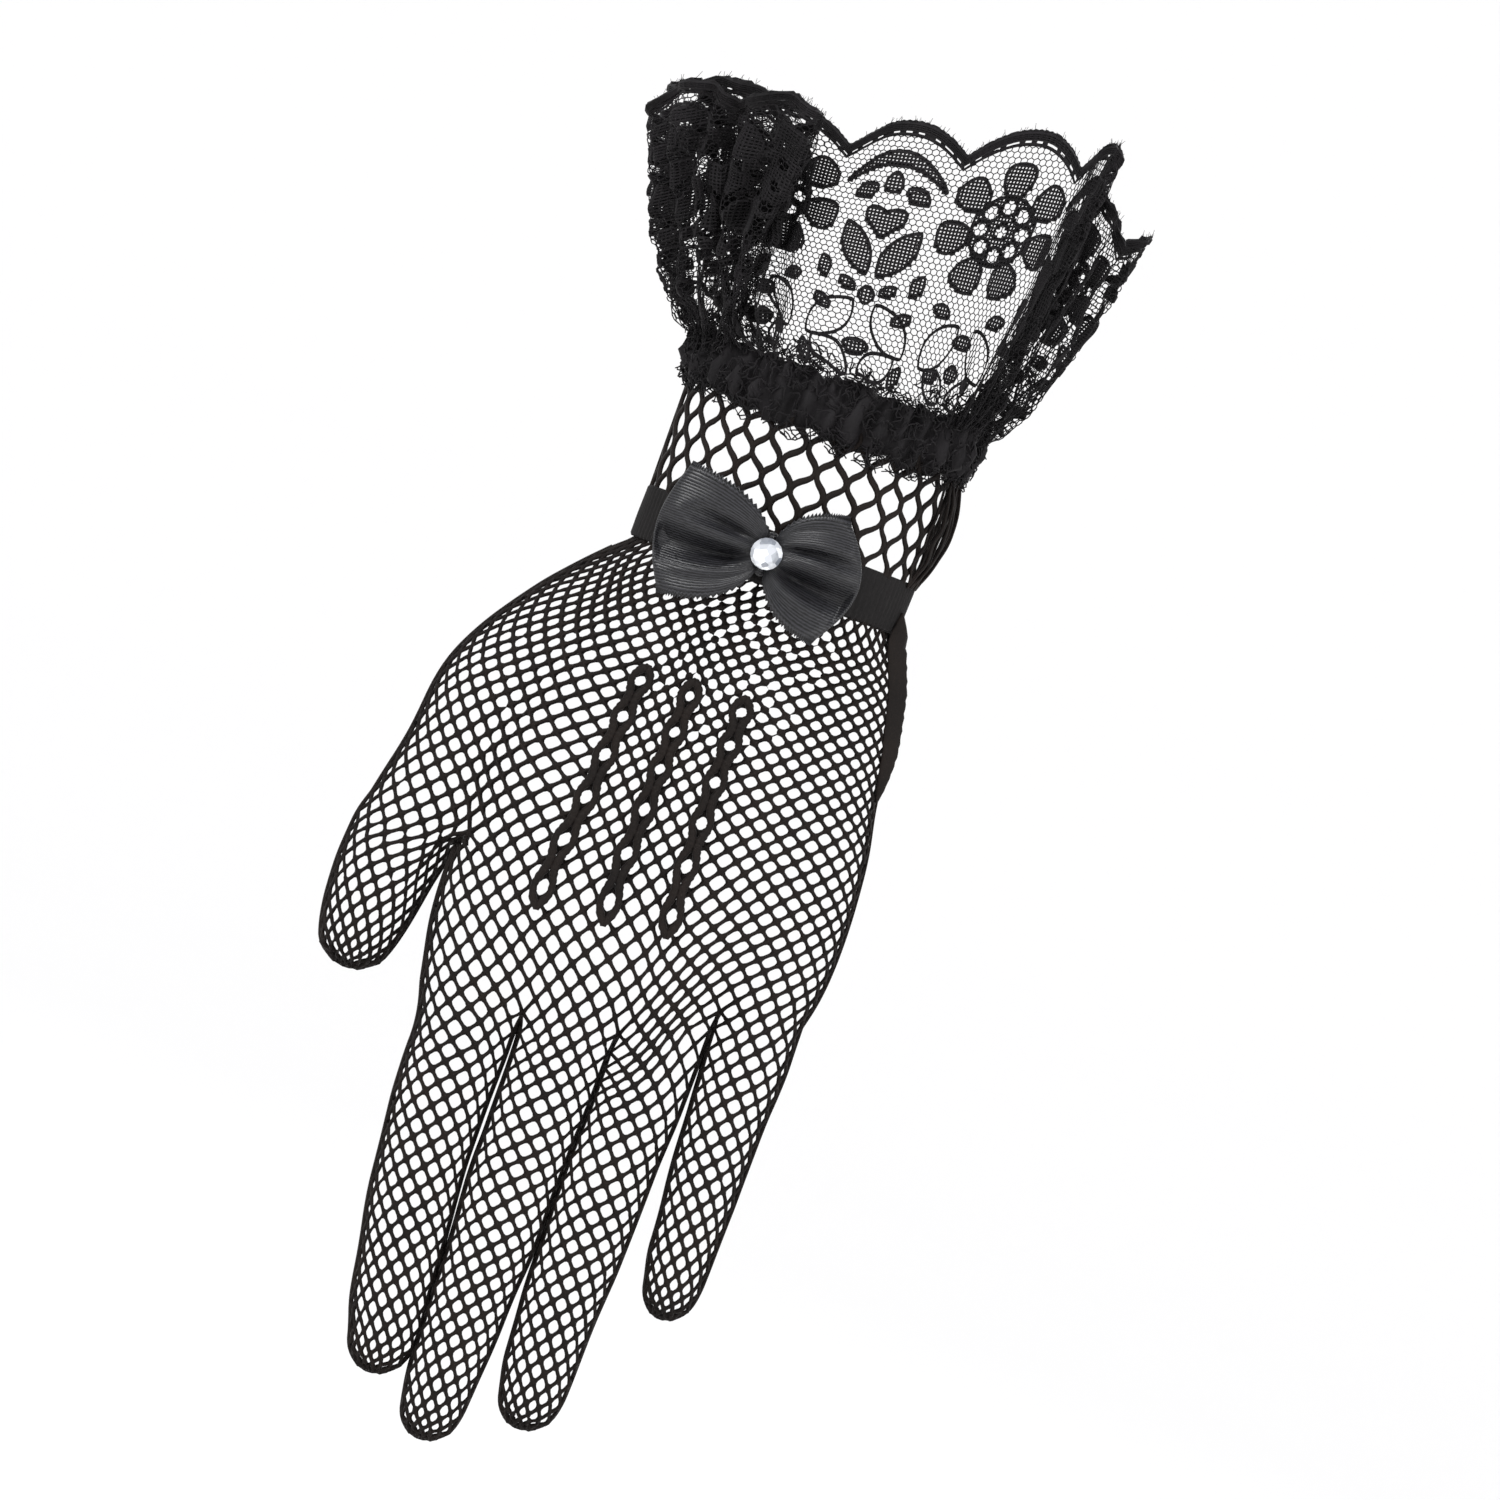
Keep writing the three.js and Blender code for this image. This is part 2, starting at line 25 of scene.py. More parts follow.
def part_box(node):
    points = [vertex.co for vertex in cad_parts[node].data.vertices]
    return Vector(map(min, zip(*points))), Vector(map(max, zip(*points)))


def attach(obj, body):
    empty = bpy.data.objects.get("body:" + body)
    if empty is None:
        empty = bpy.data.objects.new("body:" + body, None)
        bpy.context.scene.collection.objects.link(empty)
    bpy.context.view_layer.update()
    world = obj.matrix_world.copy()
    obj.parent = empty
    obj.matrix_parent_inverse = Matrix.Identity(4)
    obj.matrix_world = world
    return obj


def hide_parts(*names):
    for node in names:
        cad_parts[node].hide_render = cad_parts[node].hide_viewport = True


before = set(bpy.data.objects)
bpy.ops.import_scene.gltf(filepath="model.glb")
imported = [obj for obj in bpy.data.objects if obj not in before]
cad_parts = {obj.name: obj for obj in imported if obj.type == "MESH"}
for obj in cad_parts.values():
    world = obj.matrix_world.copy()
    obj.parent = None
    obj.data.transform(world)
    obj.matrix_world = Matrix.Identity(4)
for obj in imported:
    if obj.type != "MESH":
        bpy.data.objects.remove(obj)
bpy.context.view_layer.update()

BODY = "root"
MM = 0.001  # metres in a millimetre
TURN = 2 * math.pi
CAD_WALL = 1.0  # mm, the wall of every soft solid in the frame
logging.basicConfig(level=logging.INFO, format="%(message)s")
log = logging.getLogger("lace_glove")


# Small tools


def linear(colour: str) -> tuple[float, float, float, float]:
    """Turns an sRGB hex colour into linear light.

    Args:
        colour: the colour, such as "#1c1815".

    Returns:
        Red, green, blue and an alpha of 1.
    """
    parts = [int(colour[k:k + 2], 16) / 255 for k in (1, 3, 5)]
    return (*(c / 12.92 if c <= 0.04045 else ((c + 0.055) / 1.055) ** 2.4 for c in parts), 1.0)


def lerp(low: float, high: float, share: float) -> float:
    """Returns the value that lies that share of the way from low to high."""
    return low + (high - low) * share


def ease(share: float) -> float:
    """Returns the share clamped to 0 to 1 and eased at both ends."""
    share = min(1.0, max(0.0, share))
    return share * share * (3 - 2 * share)


def along_table(table: Sequence[tuple[float, float]], at: float, soft: bool = True) -> float:
    """Reads a table of (place, value) rows.

    Args:
        table: rows in rising order of place.
        at: the place to read at.
        soft: whether the value is eased between the rows; otherwise it runs straight.

    Returns:
        The value there, held at the ends.
    """
    if at <= table[0][0]:
        return table[0][1]
    for (x0, y0), (x1, y1) in zip(table, table[1:]):
        if at <= x1:
            share = (at - x0) / (x1 - x0)
            return lerp(y0, y1, ease(share) if soft else share)
    return table[-1][1]


def add_node(tree: bpy.types.NodeTree, kind: str, inputs: dict | None = None,
             links: dict | None = None, **settings: object) -> bpy.types.Node:
    """Adds a shader node with its settings and links.

    Args:
        tree: the material's node tree.
        kind: the node's type.
        inputs: values by input name or number.
        links: output sockets by the input name or number that they feed.
        settings: properties of the node itself.

    Returns:
        The new node.
    """
    node = tree.nodes.new(kind)
    for name, value in settings.items():
        setattr(node, name, value)
    for name, value in (inputs or {}).items():
        node.inputs[name].default_value = value
    for name, socket in (links or {}).items():
        tree.links.new(socket, node.inputs[name])
    return node


def new_material(name: str) -> tuple[bpy.types.Material, bpy.types.NodeTree]:
    """Returns an empty material of that name and its node tree."""
    material = bpy.data.materials.new(name)
    material.use_nodes = True
    material.node_tree.nodes.clear()
    return material, material.node_tree


def close_material(material: bpy.types.Material, inputs: dict,
                   links: dict | None = None) -> bpy.types.Material:
    """Adds the surface shader to a material and joins it to the output.

    Args:
        material: the material.
        inputs: the shader's values by input name.
        links: output sockets by the name of the shader's input that they feed.

    Returns:
        The finished material.
    """
    tree = material.node_tree
    shader = add_node(tree, "ShaderNodeBsdfPrincipled", inputs, links)
    add_node(tree, "ShaderNodeOutputMaterial", links={"Surface": shader.outputs[0]})
    return material


def to_object(name: str, bm: BMesh, *finishes: bpy.types.Material) -> bpy.types.Object:
    """Turns a mesh into a smooth object of the scene.

    Args:
        name: the object's name.
        bm: the mesh, which is freed.
        finishes: its materials, in the order of the faces' material numbers.

    Returns:
        The new object.
    """
    for face in bm.faces:
        face.smooth = True
    mesh = bpy.data.meshes.new(name)
    bm.to_mesh(mesh)
    bm.free()
    for finish in finishes:
        mesh.materials.append(finish)
    made = bpy.data.objects.new(name, mesh)
    bpy.context.scene.collection.objects.link(made)
    return made


def make_piece(name: str, node: str, slot: str, bm: BMesh,
               *finishes: bpy.types.Material) -> bpy.types.Object:
    """Turns a mesh in millimetres into a finished piece that rides on the object.

    Args:
        name: the piece's name.
        node: the solid that it stands for.
        slot: not used.
        bm: the mesh, which is freed.
        finishes: its materials, in the order of the faces' material numbers.

    Returns:
        The new object.
    """
    bmesh.ops.scale(bm, vec=Vector((MM, MM, MM)), verts=bm.verts)
    piece = to_object(name, bm, *finishes)
    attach(piece, BODY)
    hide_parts(node)
    log.info("%s: %d faces", name, len(piece.data.polygons))
    return piece


def ring_edges(bm: BMesh, ring: Sequence[BMVert]) -> list[BMEdge]:
    """Returns the edges between neighbours of a closed ring, and makes those that are missing.

    Args:
        bm: the mesh.
        ring: the ring's vertices in order.

    Returns:
        Its edges in order.
    """
    return [bm.edges.get(pair) or bm.edges.new(pair) for pair in zip(ring, [*ring[1:], ring[0]])]


def extrude_row(bm: BMesh, row: Sequence[BMVert], edges: Sequence[BMEdge],
                finish: int = 0) -> tuple[list[BMVert], list[BMEdge], list[BMFace]]:
    """Extrudes a row of edges into a new row of faces.

    Args:
        bm: the mesh.
        row: the row's vertices in order.
        edges: the edges between them.
        finish: the material number of the new faces.

    Returns:
        The new vertices, in the same order and still at the same places, with the edges
        between them and the new faces.
    """
    made = bmesh.ops.extrude_edge_only(bm, edges=edges)["geom"]
    fresh = {item for item in made if isinstance(item, BMVert)}
    faces = [item for item in made if isinstance(item, BMFace)]
    for face in faces:
        face.material_index = finish
    verts = [next(e.other_vert(v) for e in v.link_edges if e.other_vert(v) in fresh) for v in row]
    edges = [item for item in made if isinstance(item, BMEdge) and fresh.issuperset(item.verts)]
    return verts, edges, faces


def add_ring(bm: BMesh, ring: Sequence[BMVert], places: Sequence[Vector],
             finish: int = 0) -> list[BMVert]:
    """Adds a closed ring of vertices and the faces between it and the ring before it.

    Args:
        bm: the mesh.
        ring: the ring before it, in order, or an empty one to start from.
        places: where the new ring's vertices go, in order.
        finish: the material number of the new faces.

    Returns:
        The new ring's vertices in that order.
    """
    if ring:
        ring = extrude_row(bm, ring, ring_edges(bm, ring), finish)[0]
    else:
        made = bmesh.ops.create_circle(bm, segments=len(places), radius=1.0)["verts"]
        ring = [made[0]]
        while len(ring) < len(made):
            ring.append(next(e.other_vert(ring[-1]) for e in ring[-1].link_edges
                             if e.other_vert(ring[-1]) not in ring[-2:]))
    for vert, place in zip(ring, places):
        vert.co = place
    return ring


def join(bm: BMesh, part: BMesh, turns: Iterable[Matrix] = (Matrix(),)) -> None:
    """Adds copies of a small mesh to a large one.

    Args:
        bm: the large mesh.
        part: the small mesh, which is freed.
        turns: how each copy is turned and placed.
    """
    mesh = bpy.data.meshes.new("part")
    part.to_mesh(mesh)
    part.free()
    for turn in turns:
        mesh.transform(turn)
        bm.from_mesh(mesh)
        mesh.transform(turn.inverted())
    bpy.data.meshes.remove(mesh)


def sweep(bm: BMesh, path: Sequence[Vector], radius: Callable[[float], tuple[float, float]],
          sides: int, flat_to: Callable[[Vector], Vector]) -> None:
    """Sweeps an oval section along a path and closes both ends.

    Args:
        bm: the mesh.
        path: the thread's centre line.
        radius: half the width and half the height of the section at a share of the length.
        sides: corners of the section.
        flat_to: the direction away from the surface at a point of the path.
    """
    own = bmesh.new()
    ring: list[BMVert] = []
    for k, centre in enumerate(path):
        ahead = path[min(k + 1, len(path) - 1)] - path[max(k - 1, 0)]
        ahead.normalize()
        across = ahead.cross(flat_to(centre)).normalized()
        up = across.cross(ahead)
        wide, high = radius(k / (len(path) - 1))
        places = [centre + across * (wide * math.cos(TURN * j / sides))
                  + up * (high * math.sin(TURN * j / sides)) for j in range(sides)]
        ring = add_ring(own, ring, places)
        if k in (0, len(path) - 1):
            bmesh.ops.edgeloop_fill(own, edges=ring_edges(own, ring))
    bmesh.ops.recalc_face_normals(own, faces=own.faces)
    join(bm, own)


def tile(bm: BMesh, faces: Iterable[BMFace], step: Vector, count: int) -> list[BMFace]:
    """Repeats faces in a row.

    Args:
        bm: the mesh.
        faces: the faces of the first copy.
        step: from one copy to the next.
        count: how many copies there are in all.

    Returns:
        The faces of all copies, the first among them.
    """
    first = list(faces)
    made = list(first)
    for k in range(1, count):
        geom = bmesh.ops.duplicate(bm, geom=first)["geom"]
        verts = [item for item in geom if isinstance(item, BMVert)]
        bmesh.ops.translate(bm, vec=step * k, verts=verts)
        made += [item for item in geom if isinstance(item, BMFace)]
    return made


def strip(bm: BMesh, line: Sequence[Vector], width: float, finish: int) -> None:
    """Lays a flat strip along a closed line in the XY plane.

    Args:
        bm: the mesh.
        line: the strip's centre line.
        width: the strip's width.
        finish: the material number.
    """
    sides: list[Vector] = []
    for before, after in zip([line[-1], *line], [*line[1:], line[0]]):
        ahead = (after - before).normalized()
        sides.append(Vector((-ahead.y, ahead.x, 0)) * (width / 2))
    ring = add_ring(bm, [], [point - side for point, side in zip(line, sides)])
    add_ring(bm, ring, [point + side for point, side in zip(line, sides)], finish)


def hoop(bm: BMesh, count: int, profile: Sequence[tuple[float, float]],
         place: Callable[[float, float, float], Vector]) -> None:
    """Builds a closed hoop from a closed profile.

    Args:
        bm: the mesh.
        count: columns round the hoop.
        profile: (out, height) rows, up the outside and down the inside.
        place: gives a point for an angle, an out and a height.
    """
    first: list[BMVert] = []
    ring: list[BMVert] = []
    for out, height in profile:
        places = [place(TURN * k / count, out, height) for k in range(count)]
        ring = add_ring(bm, ring, places)
        first = first or ring
    bmesh.ops.bridge_loops(bm, edges=ring_edges(bm, first) + ring_edges(bm, ring))
    bmesh.ops.recalc_face_normals(bm, faces=bm.faces)


def relax(bm: BMesh, verts: Sequence[BMVert]) -> None:
    """Evens out the places of some vertices, as a stretched net does."""
    for _ in range(2):
        bmesh.ops.smooth_vert(bm, verts=verts, factor=0.5,
                              use_axis_x=True, use_axis_y=True, use_axis_z=True)


def line_up(point: Vector) -> Vector:
    """Moves a point so that the camera sees the far side straight behind the near side.

    Args:
        point: a place on a surface whose far side mirrors its near side.

    Returns:
        The place, further from the middle of the picture as it lies further back.
    """
    aim = Vector(Studio.aim) / MM
    share = point.y * MM / Studio.view_distance
    return point + Vector((point.x - aim.x, 0, point.z - aim.z)) * share


def run_lengths(line: Sequence[Vector]) -> list[float]:
    """Returns how far along a line each of its points lies."""
    return [0.0, *accumulate((b - a).length for a, b in zip(line, line[1:]))]


def find_step(lengths: Sequence[float], at: float) -> tuple[int, float]:
    """Finds the step of a line that holds a length.

    Args:
        lengths: how far along the line each of its points lies.
        at: the length.

    Returns:
        The number of the point before it, and the share of the step up to it.
    """
    k = min(max(bisect_left(lengths, at) - 1, 0), len(lengths) - 2)
    return k, (at - lengths[k]) / max(lengths[k + 1] - lengths[k], 1e-9)


def inside(point: Vector, outlines: Iterable[Sequence[Vector]]) -> bool:
    """Tells whether a point of the XY plane lies inside outlines, by the even-odd rule.

    Args:
        point: the point.
        outlines: closed lines; one inside another is a hole.

    Returns:
        True if it lies inside.
    """
    odd = False
    for outline in outlines:
        for a, b in zip(outline, [*outline[1:], outline[0]]):
            if (a.y > point.y) != (b.y > point.y):
                if point.x < a.x + (b.x - a.x) * (point.y - a.y) / (b.y - a.y):
                    odd = not odd
    return odd


@dataclass
class Solid:
    """The surfaces of one or more solids of the frame, in millimetres."""

    names: tuple[str, ...]
    tree: BVHTree = field(init=False)

    def __post_init__(self) -> None:
        """Gathers the solids' triangles in one search tree."""
        points: list[Vector] = []
        faces: list[list[int]] = []
        for name in self.names:
            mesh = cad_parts[name].data
            start = len(points)
            points += [vert.co / MM for vert in mesh.vertices]
            faces += [[start + index for index in face.vertices] for face in mesh.polygons]
        self.tree = BVHTree.FromPolygons(points, faces)

    def hit(self, start: Vector, direction: Vector, reach: float = 200.0) -> Vector | None:
        """Returns where a ray first meets the solids, or None within that reach."""
        return self.tree.ray_cast(start, direction, reach)[0]


# Finishes


@dataclass(frozen=True)
class KnittedNylon:
    """Matt black-brown nylon yarn: it drinks the light, with a soft fuzz of grey at its edges."""

    name: str = "knitted_nylon_yarn"
    colour: str = "#0b0807"
    wear_and_glint: str = "#17110e"  # painted glints where the filaments catch the light, and patches of wear
    roughness: float = 0.7
    gloss: float = 0.1
    fuzz: float = 0.02
    filament: float = 0.3  # mm between the filament bundles of the yarn
    patch: float = 9.0  # mm across the patches where it is more worn or less

    def material(self) -> bpy.types.Material:
        """Returns the yarn's material."""
        material, tree = new_material(self.name)
        place = add_node(tree, "ShaderNodeTexCoord")
        strands, patches = (
            add_node(tree, "ShaderNodeTexNoise", {"Scale": 1 / (size * MM), "Detail": detail},
                     {"Vector": place.outputs["Object"]})
            for size, detail in ((self.filament, 2.0), (self.patch, 1.0)))
        share = add_node(
            tree, "ShaderNodeMath", {1: 0.5},
            {0: strands.outputs["Fac"]}, operation="MULTIPLY")
        share = add_node(
            tree, "ShaderNodeMath", {1: 0.5}, {0: patches.outputs["Fac"], 2: share.outputs[0]},
            operation="MULTIPLY_ADD")
        # Painted glints and wear: lighter where the filament noise and the patch noise run high
        colour = add_node(tree, "ShaderNodeValToRGB", links={"Fac": share.outputs[0]})
        tones = ((0.35, self.colour), (0.75, self.wear_and_glint))
        for stop, (at, tone) in zip(colour.color_ramp.elements, tones):
            stop.position = at
            stop.color = linear(tone)
        bump = add_node(
            tree, "ShaderNodeBump", {"Strength": 0.5, "Distance": 0.08 * MM},
            {"Height": strands.outputs["Fac"]})
        return close_material(
            material,
            {"Roughness": self.roughness, "Specular IOR Level": self.gloss,
             "Sheen Weight": self.fuzz, "Sheen Roughness": 0.4},
            {"Base Color": colour.outputs["Color"], "Normal": bump.outputs["Normal"]})


@dataclass(frozen=True)
class RibbedElastic(KnittedNylon):
    """Dense matt black elastic: fine upright cords of covered rubber."""

    name: str = "ribbed_elastic"
    colour: str = "#0a0909"
    # painted glints on the cords and patches of wear, lighter than its own colour
    wear_and_glint: str = "#151313"
    roughness: float = 0.75
    gloss: float = 0.12
    filament: float = 0.45


@dataclass(frozen=True)
class LaceThread(KnittedNylon):
    """Fine matt black lace thread, a shade cooler than the net."""

    name: str = "lace_thread"
    colour: str = "#0a090a"
    # painted glints on the thread and patches of wear, lighter than its own colour
    wear_and_glint: str = "#181618"
    roughness: float = 0.7
    gloss: float = 0.1
    filament: float = 0.2


@dataclass(frozen=True)
class SatinRibbon:
    """Black polyester satin: fine ribs along the ribbon, painted lighter on their crests as a
    painted highlight, and a broad soft charcoal shine.
    """

    name: str = "polyester_satin"
    colour: str = "#050505"
    # painted highlight: the rib crests are coloured lighter than the satin
    crest_highlight: str = "#242427"
    rib: float = 0.52  # mm from rib to rib
    rib_height: float = 0.08  # mm
    roughness: float = 0.36

    def material(self, width: float) -> bpy.types.Material:
        """Makes the satin for one ribbon.

        Args:
            width: the ribbon's width in mm, which its UV map spans upwards.

        Returns:
            The material.
        """
        material, tree = new_material(self.name)
        place = add_node(tree, "ShaderNodeUVMap", uv_map="ribbon")
        scaled = add_node(
            tree, "ShaderNodeMapping", {"Scale": (1.6 * width, width / self.rib, 1.0)},
            {"Vector": place.outputs["UV"]})
        parts = add_node(tree, "ShaderNodeSeparateXYZ", links={0: scaled.outputs[0]})
        slubs = add_node(
            tree, "ShaderNodeTexNoise", {"Scale": 1.0, "Detail": 2.0},
            {"Vector": scaled.outputs[0]})
        across = add_node(
            tree, "ShaderNodeMath", {1: 0.5}, {0: slubs.outputs["Fac"], 2: parts.outputs["Y"]},
            operation="MULTIPLY_ADD")
        turn = add_node(
            tree, "ShaderNodeMath", {1: TURN}, {0: across.outputs[0]}, operation="MULTIPLY")
        wave = add_node(tree, "ShaderNodeMath", links={0: turn.outputs[0]}, operation="SINE")
        height = add_node(
            tree, "ShaderNodeMath", {1: 0.5}, {0: wave.outputs[0], 2: slubs.outputs["Fac"]},
            operation="MULTIPLY_ADD")
        # Painted highlight on the rib crests: the ramp runs from the satin's colour in the troughs
        # to the lighter crest colour
        colour = add_node(tree, "ShaderNodeValToRGB", links={"Fac": height.outputs[0]})
        for stop, tone in zip(colour.color_ramp.elements, (self.colour, self.crest_highlight)):
            stop.color = linear(tone)
        bump = add_node(
            tree, "ShaderNodeBump", {"Strength": 0.75, "Distance": self.rib_height * MM},
            {"Height": height.outputs[0]})
        return close_material(
            material,
            {"Roughness": self.roughness, "Anisotropic": 0.4, "Specular IOR Level": 0.2},
            {"Base Color": colour.outputs["Color"], "Normal": bump.outputs["Normal"]})


@dataclass(frozen=True)
class CutGlass:
    """Clear glass with polished facets, grey and white where the back facets throw the light."""

    name: str = "cut_glass"
    shade: str = "#6f747d"
    bright: str = "#f1f3f7"
    facet: float = 1.5  # mm across one glint
    surface: tuple[tuple[str, float], ...] = (
        ("Roughness", 0.05), ("IOR", 1.56), ("Transmission Weight", 0.35))

    def material(self) -> bpy.types.Material:
        """Returns the material, in patches of even tone as cut facets throw the light."""
        material, tree = new_material(self.name)
        place = add_node(tree, "ShaderNodeTexCoord")
        # Painted glints: patches of grey and white stand in for the light that the facets throw
        glints = add_node(
            tree, "ShaderNodeTexVoronoi", {"Scale": 1 / (self.facet * MM), "Randomness": 0.8},
            {"Vector": place.outputs["Object"]})
        share = add_node(tree, "ShaderNodeSeparateColor", links={0: glints.outputs["Color"]})
        colour = add_node(tree, "ShaderNodeValToRGB", links={"Fac": share.outputs[0]})
        for stop, tone in zip(colour.color_ramp.elements, (self.shade, self.bright)):
            stop.color = linear(tone)
        return close_material(material, dict(self.surface), {"Base Color": colour.outputs["Color"]})


@dataclass(frozen=True)
class SilverFoil(CutGlass):
    """The silvered back of a stone, which throws the light forward again."""

    name: str = "silver_foil"
    # Painted glints: dark and bright patches stand in for the light that the foil throws back
    shade: str = "#2c2e35"
    bright: str = "#ffffff"
    facet: float = 2.2
    surface: tuple[tuple[str, float], ...] = (("Roughness", 0.2), ("Metallic", 0.9))


@dataclass(frozen=True)
class PaleFloor:
    """Matt off-white studio floor."""

    name: str = "matt_paint"
    colour: str = "#f7f6f4"

    def material(self) -> bpy.types.Material:
        """Returns the floor's material."""
        return close_material(
            new_material(self.name)[0],
            {"Base Color": linear(self.colour), "Roughness": 0.9, "Specular IOR Level": 0.2})


# The knitted hand


class Region(Enum):
    """The knitted parts, numbered as their faces are while they are one mesh."""

    HAND = 0
    INDEX = 1
    MIDDLE = 2
    RING = 3
    LITTLE = 4
    THUMB = 5

    @property
    def node(self) -> str:
        """Returns the name of the part's solid."""
        return f"{self.name.lower()}_net"


@dataclass
class KnittedHand:
    """The diamond net of the hand, its fingers and its thumb.

    It is knitted as one skin of rings. The rings run round the hand from the little-finger
    side over the back to the thumb side and back over the palm. The thumb's ring parts from
    the hand's at the crotch, and the four fingers' rings part at the webs.
    """

    top: float = -6.9  # height of the first row, just below the band
    tucked: float = 1.5  # mm that the first row is then raised, behind the band
    back: int = 19  # columns over the back of the hand, and as many over the palm
    thumb_arc: int = 12  # columns over the thumb's base
    finger_columns: int = 5  # columns over the back of a finger
    bridge: int = 4  # columns between thumb and hand, at the crotch
    rows_to_thumb: int = 16
    rows_to_webs: int = 6
    crotch: float = -34.3  # where the thumb's ring parts, across the hand
    crotch_bulge: float = 1.5  # mm that the bridge bows towards the thumb
    deepest_cast: float = -86.0  # below it the hand's solid turns into the finger roots
    web_squeeze: float = 0.78  # how much flatter the hand is at the webs
    web_half: float = 2.0  # half the depth of the net at a web
    row_growth: tuple[float, float] = (0.72, 1.27)  # first row against the last one
    finger_row: float = 4.3  # mm a row down the fingers
    thread: float = 0.73  # mm
    cuts: int = 2  # how often each side of a diamond is divided
    knot: float = 0.5  # how far the knots fill the corners of the holes
    stand_off: float = 0.55  # mm outside the solids of the fingers
    tuck: float = 0.955  # the first row's size, inside the band
    cap: float = 6.2  # mm, the height of a rounded fingertip
    rays: int = 180
    seam_turn: tuple[float, float] = (0.26, 0.1)  # where the seam strip lies, top and end
    seam_half: float = 2.1  # mm
    seam_thick: float = 0.42  # mm, half its thickness
    seam_out: tuple[float, float] = (1.8, 0.9)  # mm that its middle stands off the hand
    seam_end: float = -36.0
    side_strand_and_shadow: float = 0.43  # mm, half the thickness of the strand along each side, thickened as a painted shadow along the sides
    drift: float = 0.5  # mm that the knots wander
    drift_rate: float = 0.09  # how fast their wander changes over the hand, to a mm
    rise: float = 0.25  # mm that the net stands off the hand
    hand_limit: float = -37.5  # rays to the hand start this side of the thumb, across the hand
    sleeve_rays: int = 48
    sleeve_reach: float = 15.0  # mm
    # Across the hand and in height: where the index finger's outer side leaves the hand
    bend: tuple[tuple[float, float], tuple[float, float]] = ((-35.5, -24.0), (-106.0, -90.0))

    # Height of the webs across the hand
    webs: tuple[tuple[float, float], ...] = (
        (-31.0, -97.0), (-13.0, -95.0), (5.0, -93.0), (21.0, -81.5), (35.0, -80.0))
    # Each chain's column, and its place across the hand at two heights
    chains: tuple[tuple[int, float, float], ...] = (
        (9, 4.6, 5.5), (12, -5.4, -6.0), (15, -14.3, -18.5))
    chain_heights: tuple[float, float] = (-30.0, -72.0)

    rows: list[list[BMVert]] = field(init=False, default_factory=list)
    wales: list[list[Vector]] = field(init=False, default_factory=list)  # the back's columns
    rings: dict[Region, list[list[BMVert]]] = field(init=False, default_factory=dict)
    sides: dict[Region, list[list[Vector]]] = field(init=False, default_factory=dict)

    @property
    def columns(self) -> int:
        """Returns the columns of the rows above the thumb."""
        return self.back * 2 + self.thumb_arc

    def progress(self, row: int) -> float:
        """Returns how far down the hand a row lies, from 0 at the band to 1 at the webs."""
        rows = self.rows_to_thumb + self.rows_to_webs
        low, high = self.row_growth
        steps = [lerp(low, high, k / (rows - 1)) for k in range(rows)]
        return sum(steps[:row]) / sum(steps)

    def height(self, row: int, x: float) -> float:
        """Returns a row's height above a place across the hand."""
        done = self.progress(row)
        slant = along_table((self.webs[0], self.webs[-1]), x, soft=False)
        web = lerp(slant, along_table(self.webs, x), ease((done - 0.5) / 0.5))
        return lerp(self.top, web, done)

    def outline(self, solid: Solid, row: int) -> list[Vector]:
        """Traces the hand's outside at one row.

        Args:
            solid: the hand's solid.
            row: the row's number.

        Returns:
            Points round the hand, evenly spread in angle from the little-finger side.
        """
        limit = self.hand_limit if row > self.rows_to_thumb else -math.inf
        points = []
        for k in range(self.rays):
            angle = TURN * k / self.rays
            direction = Vector((math.cos(angle), -math.sin(angle), 0))
            point = Vector((30 * direction.x, 0, 0))
            for _ in range(3):
                height = self.height(row, point.x)
                centre = Vector((1.0, 0.0, max(height, self.deepest_cast)))
                start = centre + direction * 80
                if start.x < limit:
                    start = centre + direction * ((limit - centre.x) / direction.x)
                point = solid.hit(start, -direction) or point
            low = ease((self.deepest_cast - height) / 10)
            point = Vector((point.x, point.y * lerp(1, self.web_squeeze, low), height))
            points.append(point)
        return points

    @staticmethod
    def halves(points: Sequence[Vector]) -> tuple[list[Vector], list[Vector]]:
        """Splits a closed line where it is widest.

        Args:
            points: the closed line, from the little-finger side over the back.

        Returns:
            The back's part and the palm's, both towards the thumb.
        """
        first = max(range(len(points)), key=lambda k: points[k].x)
        turned = [*points[first:], *points[:first]]
        last = min(range(len(turned)), key=lambda k: turned[k].x)
        return turned[:last + 1], [turned[0], *turned[:last - 1:-1]]

    @staticmethod
    def passing(line: Sequence[Vector], x: float) -> tuple[Vector, float]:
        """Finds where a line towards the thumb passes a place across the hand.

        Args:
            line: the line.
            x: the place across the hand.

        Returns:
            The point, and the share of the line's length up to it.
        """
        lengths = run_lengths(line)
        for k, (a, b) in enumerate(zip(line, line[1:])):
            if b.x <= x:
                share = min(max((a.x - x) / max(a.x - b.x, 1e-9), 0.0), 1.0)
                return a.lerp(b, share), lerp(*lengths[k:k + 2], share) / lengths[-1]
        return line[-1], 1.0

    def spread(self, points: Sequence[Vector], stops: Sequence[tuple[float, float]],
               count: int) -> list[Vector]:
        """Spreads a ring over the back, with each vertex of the palm straight behind one.

        Args:
            points: the closed line round the hand.
            stops: (vertex number, share of the back's length) rows, up to half the ring.
            count: the ring's vertices.

        Returns:
            The place of each vertex. Vertex k lies before vertex count - k.
        """
        back, palm = self.halves(points)
        lengths = run_lengths(back)
        places = []
        for vert in range(count // 2 + 1):
            k, share = find_step(lengths, along_table(stops, vert, soft=False) * lengths[-1])
            places.append(back[k].lerp(back[k + 1], share))
        behind = [self.passing(palm, places[k].x)[0] for k in range((count - 1) // 2, 0, -1)]
        return places + behind

